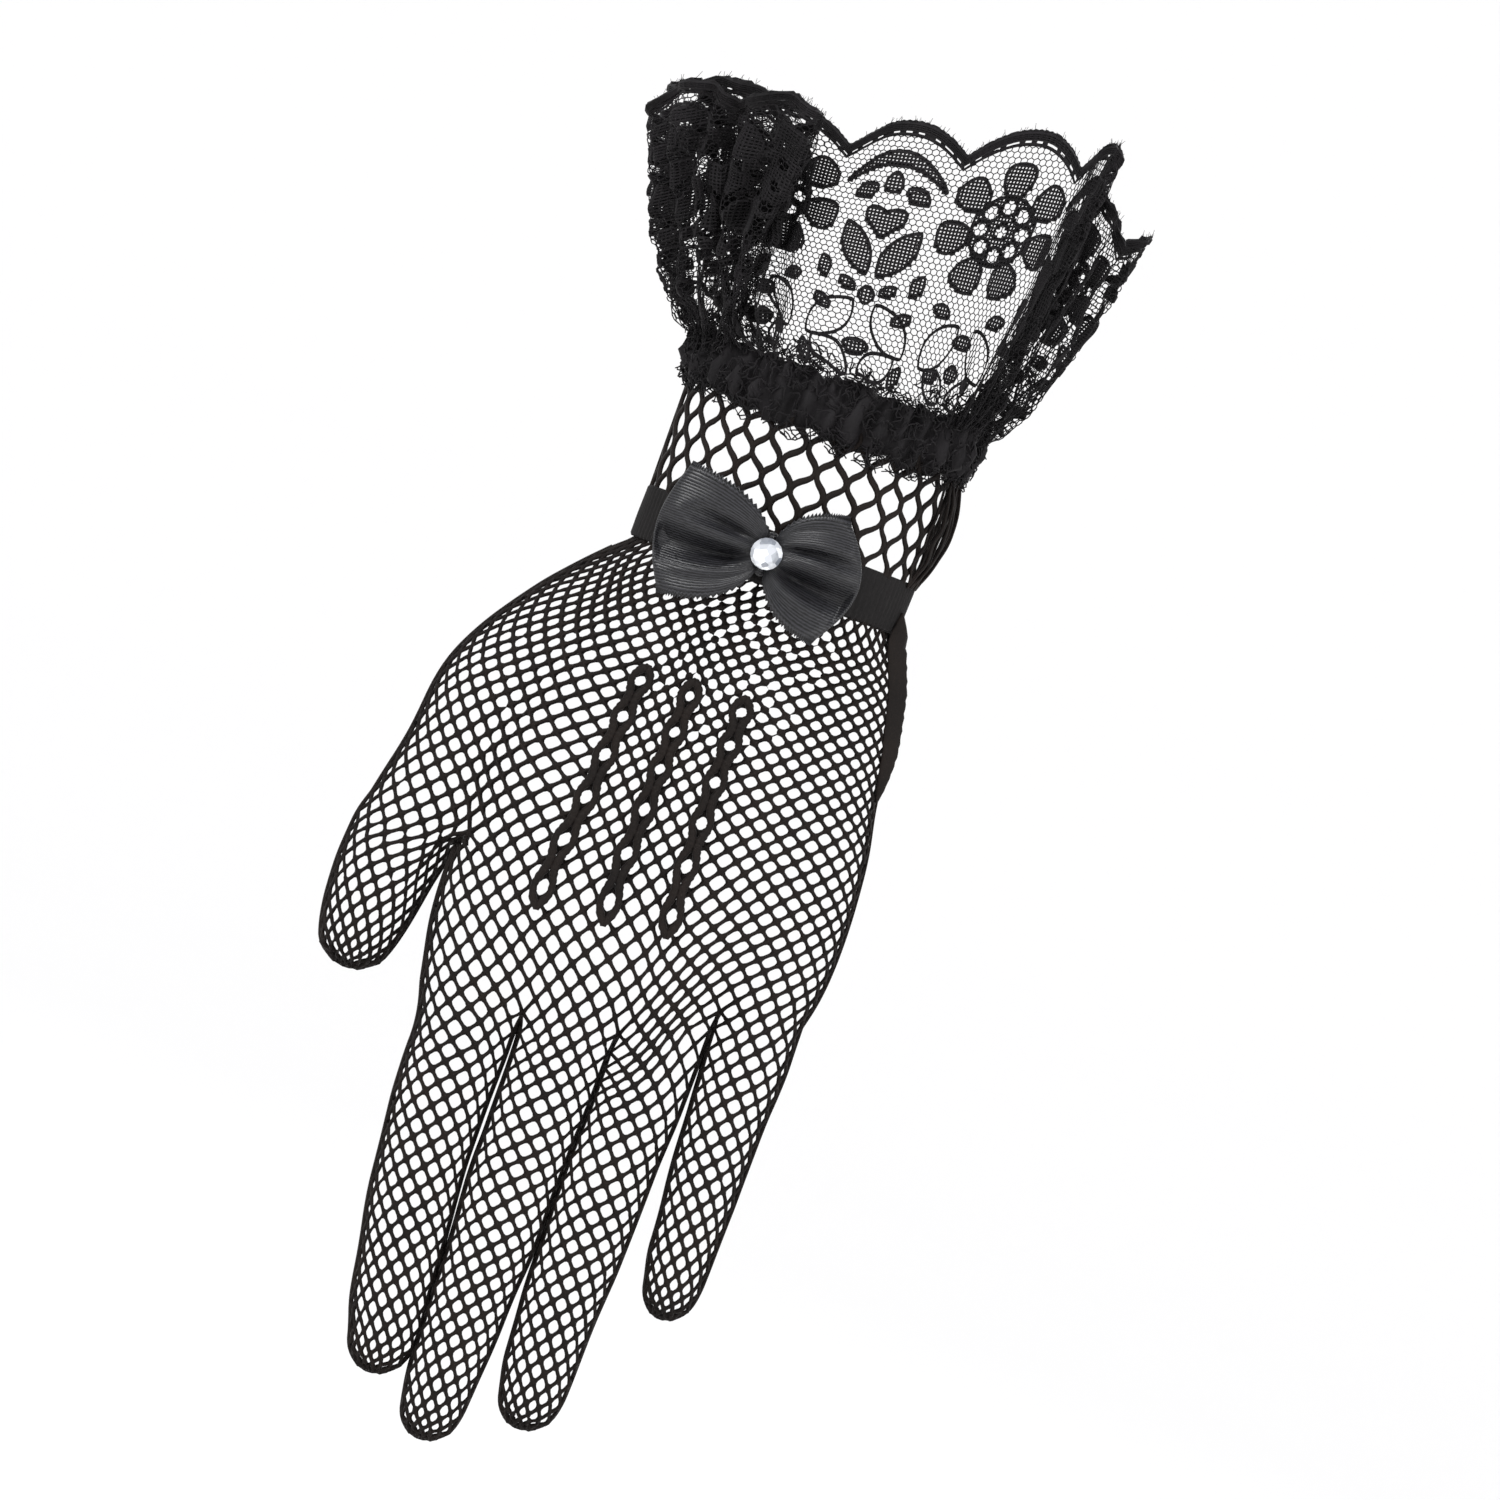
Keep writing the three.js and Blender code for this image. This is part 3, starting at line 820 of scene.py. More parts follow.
    def hold_chains(self, back: Sequence[Vector], stops: Sequence[tuple[float, float]],
                    row: int) -> list[tuple[float, float]]:
        """Holds the chains' columns to their lines between the wrist and the webs.

        Args:
            back: the back's part of the row's outline.
            stops: (vertex number, share of the back's length) rows.
            row: the row's number.

        Returns:
            The rows with those of the chains' columns.
        """
        held = dict(stops)
        hold = ease(row / 6) * ease((self.rows_to_thumb + self.rows_to_webs - row) / 5)
        high, low = self.chain_heights
        for vert, x_high, x_low in self.chains:
            x = lerp(x_high, x_low, (self.height(row, x_high) - high) / (low - high))
            held[vert] = lerp(along_table(stops, vert, soft=False), self.passing(back, x)[1], hold)
        return sorted(held.items())

    def knit_hand(self, bm: BMesh) -> tuple[list[BMVert], list[BMVert]]:
        """Knits the hand's rows and parts the thumb.

        Args:
            bm: the mesh.

        Returns:
            The ring of the hand's last row and the thumb's ring at the crotch.
        """
        v_back, v_palm, half = self.back, self.back + self.thumb_arc, self.columns / 2
        ring: list[BMVert] = []
        alone = Solid((Region.HAND.node,))
        with_thumb = Solid((Region.HAND.node, Region.THUMB.node))
        for row in range(self.rows_to_thumb + 1):
            line = self.outline(with_thumb, row)
            back = self.halves(line)[0]
            crotch = self.passing(back, self.crotch)[1]
            share = lerp(v_back / half, crotch, ease(row / self.rows_to_thumb))
            stops = self.hold_chains(back, [(0, 0.0), (v_back, share), (half, 1.0)], row)
            places = self.spread(line, stops, self.columns)
            if row == 0:
                places = [Vector((p.x * self.tuck, p.y * self.tuck, p.z + self.tucked))
                          for p in places]
            ring = add_ring(bm, ring, places)
            self.rows.append(ring)
        between = self.bridge_over(bm, ring[v_back], ring[v_palm])
        thumb = ring[v_back:v_palm + 1] + between[::-1]
        hand = ring[:v_back + 1] + between + ring[v_palm:]
        half = len(hand) / 2
        for row in range(self.rows_to_thumb + 1, self.rows_to_thumb + self.rows_to_webs + 1):
            line = self.outline(alone, row)
            back = self.halves(line)[0]
            pull = ease((row - self.rows_to_thumb) / self.rows_to_webs)
            stops = [(vert, lerp(vert / half, self.passing(back, x)[1], pull))
                     for vert, x in self.web_columns()]
            stops = self.hold_chains(back, [(0, 0.0), *stops, (half, 1.0)], row)
            hand = add_ring(bm, hand, self.spread(line, stops, len(hand)))
            self.rows.append(hand)
        return hand, thumb

    def bridge_over(self, bm: BMesh, start: BMVert, end: BMVert) -> list[BMVert]:
        """Joins the back and the palm at the crotch by a few edges.

        Args:
            bm: the mesh.
            start: the vertex on the back.
            end: the vertex on the palm.

        Returns:
            The new vertices between them.
        """
        between: list[BMVert] = []
        for k in range(1, self.bridge):
            share = k / self.bridge
            place = start.co.lerp(end.co, share)
            place.x -= self.crotch_bulge * math.sin(math.pi * share)
            between += bmesh.ops.create_vert(bm, co=place)["vert"]
        line = [start, *between, end]
        for pair in zip(line, line[1:]):
            bm.edges.new(pair)
        return between

    def web_columns(self) -> list[tuple[int, float]]:
        """Returns (vertex on the back, place across the hand) for each web."""
        return [(self.finger_columns * (k + 1), self.webs[3 - k][0]) for k in range(3)]

    def finger_rings(self, hand: list[BMVert]) -> dict[Region, list[BMVert]]:
        """Parts the hand's last ring into the rings of the four fingers.

        Args:
            hand: the last ring.

        Returns:
            Each finger's ring, which starts at the web that comes first over the back.
        """
        b = [vert for vert, _ in self.web_columns()]
        p = [len(hand) - vert for vert in b]
        return {
            Region.INDEX: hand[b[2]:p[2] + 1],
            Region.MIDDLE: hand[b[1]:b[2] + 1] + hand[p[2]:p[1] + 1],
            Region.RING: hand[b[0]:b[1] + 1] + hand[p[1]:p[0] + 1],
            Region.LITTLE: hand[p[0]:] + hand[:b[0] + 1],
        }

    def section(self, solid: Solid, centre: Vector) -> list[Vector]:
        """Traces a sleeve's inside from its middle and moves out past its wall.

        Args:
            solid: the sleeve's solid, with the hand's.
            centre: a point inside it.

        Returns:
            Points round the sleeve, evenly spread in angle.
        """
        count = self.sleeve_rays
        found: list[float | None] = []
        for k in range(count):
            direction = Vector((math.cos(TURN * k / count), -math.sin(TURN * k / count), 0))
            tries = []
            for shift in (0.0, 0.7, -0.7):  # past the seam between the sleeve and the hand
                place = solid.hit(centre + Vector((0, 0, shift)), direction, self.sleeve_reach)
                if place is not None:
                    tries.append(math.hypot(place.x - centre.x, place.y - centre.y))
            found.append(min(tries) if tries else None)
        known = sorted(r for r in found if r is not None)
        usual = known[len(known) // 2] if known else 3.0
        line = []
        for k, radius in enumerate(found):
            if radius is None or radius > 1.5 * usual:
                radius = usual
            angle = TURN * k / count
            out = radius + CAD_WALL + self.stand_off
            line.append(centre + Vector((out * math.cos(angle), -out * math.sin(angle), 0)))
        return line

    def knit_sleeve(self, bm: BMesh, ring: list[BMVert], region: Region) -> None:
        """Knits a finger or the thumb down to its tip and closes it.

        Args:
            bm: the mesh.
            ring: the ring that it starts from.
            region: which sleeve it is.
        """
        solid = Solid((Region.HAND.node, region.node))
        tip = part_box(region.node)[0].z / MM
        self.rings[region] = [ring]
        starts = [vert.co.copy() for vert in ring]
        mean = sum(starts, Vector()) / len(starts)
        rows = round((mean.z - tip - self.cap) / self.finger_row)
        step = (mean.z - tip - self.cap) / rows
        turns: list[float] = []
        for start in starts:
            turn = math.atan2(mean.y - start.y, start.x - mean.x)
            while turns and turn < turns[-1] - math.pi:
                turn += TURN
            turns.append(turn)
        # Vertex j lies before the vertex pairs - j, and the even ring keeps it so
        count = len(ring)
        pairs = min(range(count), key=lambda total: sum(
            abs(start.x - starts[(total - j) % count].x) for j, start in enumerate(starts)))
        half_step = math.pi / count
        first = sum(own - 2 * half_step * j for j, own in enumerate(turns)) / count
        offset = round((first / half_step + pairs) / count) * count - pairs
        first = half_step * offset
        facing = [turns[(pairs - j) % count] for j in range(count)]
        turns = [(own - other) / 2 + math.pi * round((own + other) / TURN)
                 for own, other in zip(turns, facing)]
        centre = mean
        for k in range(rows):
            level = mean.z - step * (k + 1)
            centre = Vector((centre.x, centre.y, level))
            for _ in range(2):
                line = self.section(solid, centre)
                centre = sum(line, Vector()) / len(line)
            settle = ease((k + 1) / 5)
            places = []
            for j, start in enumerate(starts):
                angle = lerp(turns[j], first + 2 * half_step * j, settle) % TURN
                at = angle / TURN * len(line)
                low = int(at) % len(line)
                place = line[low].lerp(line[(low + 1) % len(line)], at - int(at))
                place.z = level + (start.z - mean.z) * (1 - settle)
                places.append(place)
            for j, place in enumerate(places):
                other = places[(pairs - j) % count]
                if place.y > other.y:
                    place.x, place.z = other.x, other.z
            ring = add_ring(bm, ring, places, region.value)
            self.rings[region].append(ring)
        ends = [vert.co.copy() for vert in ring]
        for angle in (0.6, 1.15):
            places = [centre.lerp(end, math.cos(angle)) for end in ends]
            for place in places:
                place.z = centre.z - self.cap * math.sin(angle)
            ring = add_ring(bm, ring, places, region.value)
            self.rings[region].append(ring)
        pole = bmesh.ops.create_vert(bm, co=Vector((centre.x, centre.y, tip)))["vert"][0]
        self.rings[region].append([pole])
        for edge in ring_edges(bm, ring):
            face = bmesh.ops.contextual_create(bm, geom=[*edge.verts, pole])["faces"][0]
            face.material_index = region.value

    def skin(self) -> BMesh:
        """Returns the whole skin, in quads, relaxed as a stretched net is."""
        bm = bmesh.new()
        hand, thumb = self.knit_hand(bm)
        for vert, _ in self.web_columns():
            hand[vert].co.y = -self.web_half
            hand[-vert].co.y = self.web_half
        for region, ring in (self.finger_rings(hand) | {Region.THUMB: thumb}).items():
            self.knit_sleeve(bm, ring, region)
        bm.normal_update()
        inner = [vert for vert in bm.verts if not vert.is_boundary]
        relax(bm, [vert for vert in inner if any(
            face.material_index == Region.HAND.value for face in vert.link_faces)])
        (left, right), (deep, high) = self.bend
        relax(bm, [vert for vert in inner
                   if left < vert.co.x < right and deep < vert.co.z < high])
        for row in self.rows:  # the palm straight behind the back again
            for k in range(1, len(row) // 2):
                row[-k].co.x, row[-k].co.z = row[k].co.x, row[k].co.z
        bmesh.ops.recalc_face_normals(bm, faces=bm.faces)
        bm.normal_update()
        for vert in inner:
            place = Vector((vert.co.x, 0, vert.co.z)) * self.drift_rate
            drift = noise.noise_vector(place) * self.drift
            vert.co += Vector((drift.x, 0, drift.z)) + vert.normal * self.rise
        for vert in bm.verts:
            vert.co = line_up(vert.co)
        self.wales = [[row[column].co.copy() for row in self.rows] for column in range(self.back)]
        parting = self.rows_to_thumb + 1
        lines = {region: ((rings, -1), (rings, 1)) for region, rings in self.rings.items()}
        lines[Region.HAND] = ((self.rows[1:parting], -1), (self.rows[parting:], -1),
                              (self.rows[1:], 1))
        self.sides = {region: [self.side(*line) for line in own] for region, own in lines.items()}
        return bm

    @staticmethod
    def side(rings: Sequence[Sequence[BMVert]], way: int) -> list[Vector]:
        """Follows the net's outermost place from ring to ring.

        Args:
            rings: the rings of a finger, the thumb or the hand.
            way: -1 for the side towards the thumb, 1 for the other.

        Returns:
            A smooth line along that side.
        """
        line = []
        for ring in rings:
            far = max(vert.co.x * way for vert in ring)
            edge = [vert.co for vert in ring if vert.co.x * way > far - 0.3]
            line.append(sum(edge, Vector()) / len(edge) + Vector((0.15 * way, 0, 0)))
        for _ in range(2):
            cut = (a.lerp(b, share) for a, b in zip(line, line[1:]) for share in (0.25, 0.75))
            line = [line[0], *cut, line[-1]]
        return line

    def net(self) -> tuple[BMesh, KDTree]:
        """Makes the skin's diamonds, one over each edge of the quads.

        Returns:
            The mesh and the places of its knots.
        """
        bm = self.skin()
        old = [edge for edge in bm.edges if not edge.is_boundary]
        bmesh.ops.poke(bm, faces=bm.faces[:], center_mode="MEAN")
        bmesh.ops.dissolve_edges(bm, edges=old, use_verts=False)
        rim = [face for face in bm.faces if len(face.verts) == 3
               and any(edge.is_boundary for edge in face.edges)]
        bmesh.ops.delete(bm, geom=rim, context="FACES")
        knots = KDTree(len(bm.verts))
        for k, vert in enumerate(bm.verts):
            knots.insert(vert.co, k)
        knots.balance()
        bmesh.ops.subdivide_edges(bm, edges=bm.edges[:], cuts=self.cuts)
        return bm, knots

    def build(self) -> None:
        """Makes one piece for the hand, each finger and the thumb."""
        yarn = KnittedNylon().material()
        whole, knots = self.net()
        for region in Region:
            bm = whole.copy()
            others = [face for face in bm.faces if face.material_index != region.value]
            bmesh.ops.delete(bm, geom=others, context="FACES")
            for face in bm.faces:
                face.material_index = 0
            bmesh.ops.wireframe(bm, faces=bm.faces[:], thickness=self.thread, use_replace=True,
                                use_boundary=True, use_even_offset=True)
            for vert in bm.verts:
                knot, _, away = knots.find(vert.co)
                near = ease((away / self.thread - 0.5) / 0.12) * ease(
                    (1.2 - away / self.thread) / 0.45)
                vert.co += (vert.co - knot) * (self.knot * near)
            # Each side's strand is partly the net seen edge-on and partly a painted shadow along
            # that side
            for line in self.sides[region]:
                sweep(bm, line, lambda _: (self.side_strand_and_shadow, self.side_strand_and_shadow), 5,
                      lambda point: Vector((0, -1, 0)))
            make_piece(f"{region.name.lower()}_knit", region.node, "net", bm, yarn)
        whole.free()
        self.sew_side(yarn)

    def sew_side(self, yarn: bpy.types.Material) -> None:
        """Lays the dense strip that runs down the little-finger side from the band.

        Args:
            yarn: the net's material.
        """
        solid = Solid((Region.HAND.node,))
        path = [wrist_point(-self.seam_turn[0], 1.3 + 0.35 * k, -1.6 - 1.2 * k) for k in range(4)]
        for share in (k / 36 for k in range(37)):
            centre = Vector((1.0, 0.0, lerp(self.top - 0.6, self.seam_end, share)))
            turn = lerp(*self.seam_turn, share)
            direction = Vector((math.cos(turn), -math.sin(turn), 0))
            out = lerp(*self.seam_out, share) - 0.7 * share ** 6  # down to the net at its end
            path.append(solid.hit(centre + direction * 60, -direction) + direction * out)

        def radius(share: float) -> tuple[float, float]:
            """Gives the strip's half sizes: puckered, and narrower towards its end."""
            narrow = (1 - 0.85 * share ** 5) * ease(0.2 + 8 * share)
            return self.seam_half * narrow * (1 + 0.06 * math.sin(share * 90)), self.seam_thick

        bm = bmesh.new()
        sweep(bm, path, radius, 14, lambda point: Vector((0.55, -0.83, 0)))
        make_piece("side_seam", Region.HAND.node, "net", bm, yarn)


# The wrist


def box_of(node: str) -> tuple[Vector, Vector]:
    """Returns the lower and the upper corner of a solid's box, in mm."""
    low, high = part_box(node)
    return low / MM, high / MM


def wrist_point(angle: float, out: float, height: float) -> Vector:
    """Returns a point at a distance outside the wrist, at an angle from the +X side."""
    return Vector(((Wrist.half_width + out) * math.cos(angle),
                   (Wrist.half_depth + out) * math.sin(angle), height))


class Wrist:
    """The oval wrist that the band, the mesh and the heading go round, in mm."""

    band_low, band_high = box_of("wrist_band")
    thickness = 1.1
    half_width = band_high.x - thickness
    half_depth = band_high.y - thickness


@dataclass
class ElasticBand:
    """The dense band: upright ribs with soft rolled edges."""

    ribs: int = 112
    rib_depth: float = 0.13
    pucker: float = 0.18
    inner: float = 0.15

    def build(self) -> None:
        """Makes the band."""
        low, high = Wrist.band_low.z, Wrist.band_high.z
        thick = Wrist.thickness
        profile = [(thick * 0.75, low)]
        profile += [(thick, lerp(low + 0.5, high - 0.5, k / 7)) for k in range(8)]
        profile += [(thick * 0.75, high), (self.inner, high - 0.3), (self.inner, low + 0.3)]

        def place(angle: float, out: float, height: float) -> Vector:
            """Adds the ribs and a slight pucker."""
            if out > self.inner:
                out += self.rib_depth * math.cos(self.ribs * angle) - self.rib_depth
                out += self.pucker * noise.noise(Vector((angle * 6, height * 0.15, 3)))
            return wrist_point(angle, out, height)

        bm = bmesh.new()
        hoop(bm, self.ribs * 4, profile, place)
        make_piece("elastic_band", "wrist_band", "elastic", bm, RibbedElastic().material())


@dataclass
class WideMesh:
    """The open tube above the band: wavy upright strands that touch in turn."""

    strands: int = 52
    wave: float = 8.4  # mm from one touch to the next of the same pair
    touch: float = 0.3  # mm between the centres where two strands run into one
    width: float = 1.2
    thickness: float = 0.9
    step: float = 0.7
    loose: int = 16  # stray strands at the little-finger side
    loose_arc: tuple[float, float] = (-0.36, 0.2)  # where they lie round the wrist
    loose_bulge: float = 2.6  # mm
    loose_half: float = 0.28  # mm, half the thickness of one

    def build(self) -> None:
        """Makes the tube's strands and the strays."""
        low, high = (corner.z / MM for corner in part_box("wrist_mesh"))
        low -= 1.2  # sewn behind the band and the heading
        high += 1.5
        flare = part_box("wrist_mesh")[1].x / MM - Wrist.half_width - CAD_WALL
        bm = bmesh.new()
        spacing = TURN / self.strands
        swing = (1 - self.touch / (spacing * 22.5)) / 2
        count = round((high - low) / self.step)
        heights = [lerp(low, high, k / count) for k in range(count + 1)]

        def radius(share: float) -> tuple[float, float]:
            """Gives the strand's half width and half height, a little uneven."""
            uneven = 1 + 0.12 * math.sin(share * 31)
            return self.width / 2 * uneven, self.thickness / 2

        def outward(point: Vector) -> Vector:
            """Gives the way out of the wrist."""
            return Vector((point.x / Wrist.half_width, point.y / Wrist.half_depth, 0)).normalized()

        half = self.strands // 2
        for strand in range(-half, half):
            side = (strand > 0) - (-half < strand < 0)  # the palm's strands mirror the back's
            path = []
            for k, height in enumerate(heights):
                phase = TURN * height / self.wave + math.pi * (strand % 2)
                sway = math.tanh(0.9 * math.cos(phase)) / math.tanh(0.9)
                drift = noise.noise(Vector((abs(strand) * 0.3, height * 0.12, 0))) * 0.5
                angle = spacing * (strand + side * (swing * sway + drift))
                out = CAD_WALL / 2 + flare * k / count
                path.append(line_up(wrist_point(angle, out, height)))
            sweep(bm, path, radius, 6, outward)
        for stray in range(self.loose):
            start = lerp(*self.loose_arc, stray / self.loose)
            bulge = 0.4 + self.loose_bulge * (stray * 0.618 % 1)
            path = []
            for k, height in enumerate(heights):
                wander = noise.noise(Vector((stray * 5.1, height * 0.2, 7))) * 0.12
                bow = math.sin(math.pi * k / count)
                path.append(wrist_point(start + wander, CAD_WALL / 2 + bulge * bow + flare, height))
            sweep(bm, path, lambda _: (self.loose_half,) * 2, 5, outward)
        make_piece("wide_mesh", "wrist_mesh", "net", bm, KnittedNylon().material())


@dataclass
class GatheredHeading:
    """The seam that holds the frill: the lace's foot, crushed into a rough dense roll."""

    gathers: int = 36
    depth: float = 1.3
    columns: int = 8  # columns to a gather
    kinds: int = 12  # different crumpled threads
    tufts: int = 1300
    thread: float = 0.14  # mm, half the thickness of a crumpled thread
    sag: float = 2.6  # mm that the lower edge hangs down in the middle of the back
    lift: float = 3.0  # mm that the upper edge stands up at the little-finger side
    edges: tuple[float, float] = field(init=False)  # heights of its lower and upper edge

    def __post_init__(self) -> None:
        """Takes the heights from the solid."""
        low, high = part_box("ruffle_heading")
        self.edges = (low.z / MM, high.z / MM)

    def bent(self, angle: float, height: float) -> float:
        """Returns a height on the heading, with the sag and the lift of its edges."""
        low, high = self.edges
        share = (height - low) / (high - low)
        down = self.sag * max(-math.sin(angle), 0.0) * (1 - share)
        return height - down + self.lift * max(math.cos(angle), 0.0) ** 3 * share

    def build(self) -> None:
        """Makes the gathered roll and the crumpled threads that cover it."""
        low, high = self.edges
        profile = [(0.9, low - 0.2), (1.9, low + 0.4), (3.0, lerp(low, high, 0.25)),
                   (3.4, lerp(low, high, 0.45)), (3.1, lerp(low, high, 0.65)),
                   (2.7, high - 1.0), (2.6, high + 0.5), (1.6, high + 0.2),
                   (0.9, high - 1.5), (0.7, lerp(low, high, 0.5))]

        def place(angle: float, out: float, height: float) -> Vector:
            """Adds the gathers, which wander and differ in depth."""
            spot = wrist_point(angle, out, height)
            wander = 2.6 * noise.noise(spot * 0.2)
            deep = 0.8 + 0.8 * noise.noise(spot * 0.35 + Vector((9, 0, 0)))
            fold = math.cos(self.gathers * angle + wander)
            rough = noise.noise(spot * 0.9)
            share = ease((out - 0.9) / 1.6)
            lump = 1.5 * noise.noise(spot * 0.3 + Vector((0, 0, 5)))
            return wrist_point(
                angle, out + share * (self.depth * deep * fold - 0.3 + 0.9 * rough + lump),
                self.bent(angle, height) + 1.8 * noise.noise(spot * 0.45))

        bm = bmesh.new()
        hoop(bm, self.gathers * self.columns, profile, place)
        draw = random.Random(11)
        for _ in range(self.kinds):
            curl = bmesh.new()
            reach, bend = draw.uniform(2.0, 4.2), draw.uniform(0.5, 2.2)
            kink = draw.uniform(0, TURN)
            path = [Vector((reach * (t - 0.5), bend * math.sin(math.pi * t) ** 2,
                            math.sin(math.pi * t) - 0.7 + 0.2 * math.sin(kink + 5 * t)))
                    for t in (0, 0.2, 0.4, 0.6, 0.8, 1)]
            sweep(curl, path, lambda _: (self.thread, self.thread), 4,
                  lambda point: Vector((0, 0.3, 1)))
            turns = [self.tuft(draw, low, high) for _ in range(self.tufts // self.kinds)]
            join(bm, curl, turns)
        make_piece("gathered_heading", "ruffle_heading", "lace", bm, LaceThread().material())

    def tuft(self, draw: random.Random, low: float, high: float) -> Matrix:
        """Places one crumpled thread.

        Args:
            draw: the source of chance.
            low: the heading's lower edge.
            high: its upper edge.

        Returns:
            The thread's turn and place.
        """
        angle = draw.uniform(0, TURN)
        share = draw.betavariate(0.8, 0.95)
        bulge = 1.7 + 2.0 * math.sin(math.pi * share) ** 0.6
        height = self.bent(angle, lerp(low - 0.9, high + 3.4, share))
        spot = wrist_point(angle, bulge + draw.uniform(-0.4, 0.5), height)
        face = Vector((spot.x, spot.y * 1.6, 0)).to_track_quat("Z", "Y").to_matrix().to_4x4()
        lean = Matrix.Rotation(draw.gauss(0, 0.3), 4, "X")
        turn = Matrix.Rotation(draw.uniform(0, TURN), 4, "Z")
        return Matrix.Translation(spot) @ face @ lean @ turn


# The chains on the back


@dataclass
class BackChain:
    """A raised chain: two thick cords that part round an eyelet and close again.

    It runs down one column of the net, with an eyelet over every other cell.
    """

    number: int
    column: int
    first_row: float = 6.5
    last_row: float = 18.4
    first_eyelet: float = 7.5
    closed_half: float = 0.66  # mm from the middle to each cord between the eyelets
    open_half: float = 1.64
    thin: float = 0.66
    thick: float = 0.88
    stitch: float = 0.26  # rows from stitch to stitch of the cord
    step: float = 0.08  # rows

    @property
    def node(self) -> str:
        """Returns the name of the chain's solid."""
        return f"back_chain_{self.number}"

    def opening(self, row: float) -> float:
        """Returns how open the chain is, from 0 between eyelets to 1 beside one."""
        return (0.5 + 0.5 * math.cos(math.pi * (row - self.first_eyelet))) ** 1.1

    def build(self, hand: KnittedHand) -> None:
        """Makes the chain's two cords.

        Args:
            hand: the knitted hand, whose column gives the chain's line.
        """
        solid = Solid((self.node,))
        wale = hand.wales[self.column]
        count = round((self.last_row - self.first_row) / self.step)
        rows = [lerp(self.first_row, self.last_row, k / count) for k in range(count + 1)]
        line = [wale[int(row)].lerp(wale[int(row) + 1], row % 1) for row in rows]
        level = -18.0
        for k, point in enumerate(line):
            found = solid.hit(Vector((point.x, -60, point.z)), Vector((0, 1, 0)))
            level = found.y if found is not None else level
            line[k] = Vector((point.x, level + 0.6 + 0.25 * self.opening(rows[k]), point.z))

        def radius(share: float) -> tuple[float, float]:
            """Gives the cord's half sizes, fuller between the eyelets and stitched."""
            row = lerp(self.first_row, self.last_row, share)
            full = lerp(self.thick, self.thin, self.opening(row))
            full *= 1 + 0.1 * math.cos(TURN * row / self.stitch)
            end = min(1.0, 0.35 + min(share, 1 - share) * count / 5)
            return full * end, full * end * 0.85

        bm = bmesh.new()
        for side in (-1, 1):
            path = []
            for k, point in enumerate(line):
                ahead = line[min(k + 3, count)] - line[max(k - 3, 0)]
                across = Vector((ahead.z, 0, -ahead.x)).normalized()
                gap = lerp(self.closed_half, self.open_half, self.opening(rows[k]))
                gap *= lerp(0.3, 1.0, ease(min(k, count - k) * self.step / 0.6))
                path.append(point + across * (gap * side))
            sweep(bm, path, radius, 8, lambda point: Vector((0, -1, 0)))
        make_piece(f"chain_{self.number}", self.node, "net", bm, KnittedNylon().material())


# The lace frill


class Stitch(Enum):
    """The three grounds of the lace, numbered as its faces are."""

    TULLE = 0
    CLOTH = 1
    GIMP = 2


@dataclass(frozen=True)
class Motif:
    """One filled or outlined figure of the lace, placed in the repeat."""

    kind: str
    at: float  # mm along the edge from the middle of its scallop
    depth: float  # mm below the line of the scallops' tops
    long: float  # half the length
    wide: float  # half the width
    tilt: float = 0.0  # degrees
    filled: bool = True
    gimp: float = 0.42  # mm, the outline's width

    def outline(self) -> list[Vector]:
        """Returns the figure's outline round its own place, as a closed line."""
        count = max(10, round((self.long + self.wide) * 2.6))
        turn = math.radians(self.tilt)
        points = []
        for k in range(count):
            angle = TURN * k / count
            x, y = math.cos(angle), math.sin(angle)
            if self.kind == "leaf":  # pointed at both ends
                y *= abs(y) ** 0.7
            elif self.kind == "petal":  # narrow at the foot, full at the head
                y *= 0.78 + 0.3 * x
                x = math.copysign(abs(x) ** 0.85, x)
            elif self.kind == "heart":  # two lobes above a point
                x, y = (0.95 * math.sin(angle) ** 3,
                        -(0.85 * math.cos(angle) - 0.36 * math.cos(2 * angle)
                          - 0.12 * math.cos(3 * angle)) * 0.9)
            elif self.kind == "arch":  # a band bent over the middle
                bend = math.copysign(abs(x) ** 0.8, x)
                x, y = bend, y * (1 - 0.35 * abs(bend)) + 4.0 * abs(bend) ** 1.9
            local = Vector((x * self.long, y * self.wide, 0))
            local.rotate(Matrix.Rotation(turn, 3, "Z"))
            points.append(local + Vector((self.at, self.depth, 0)))
        return points


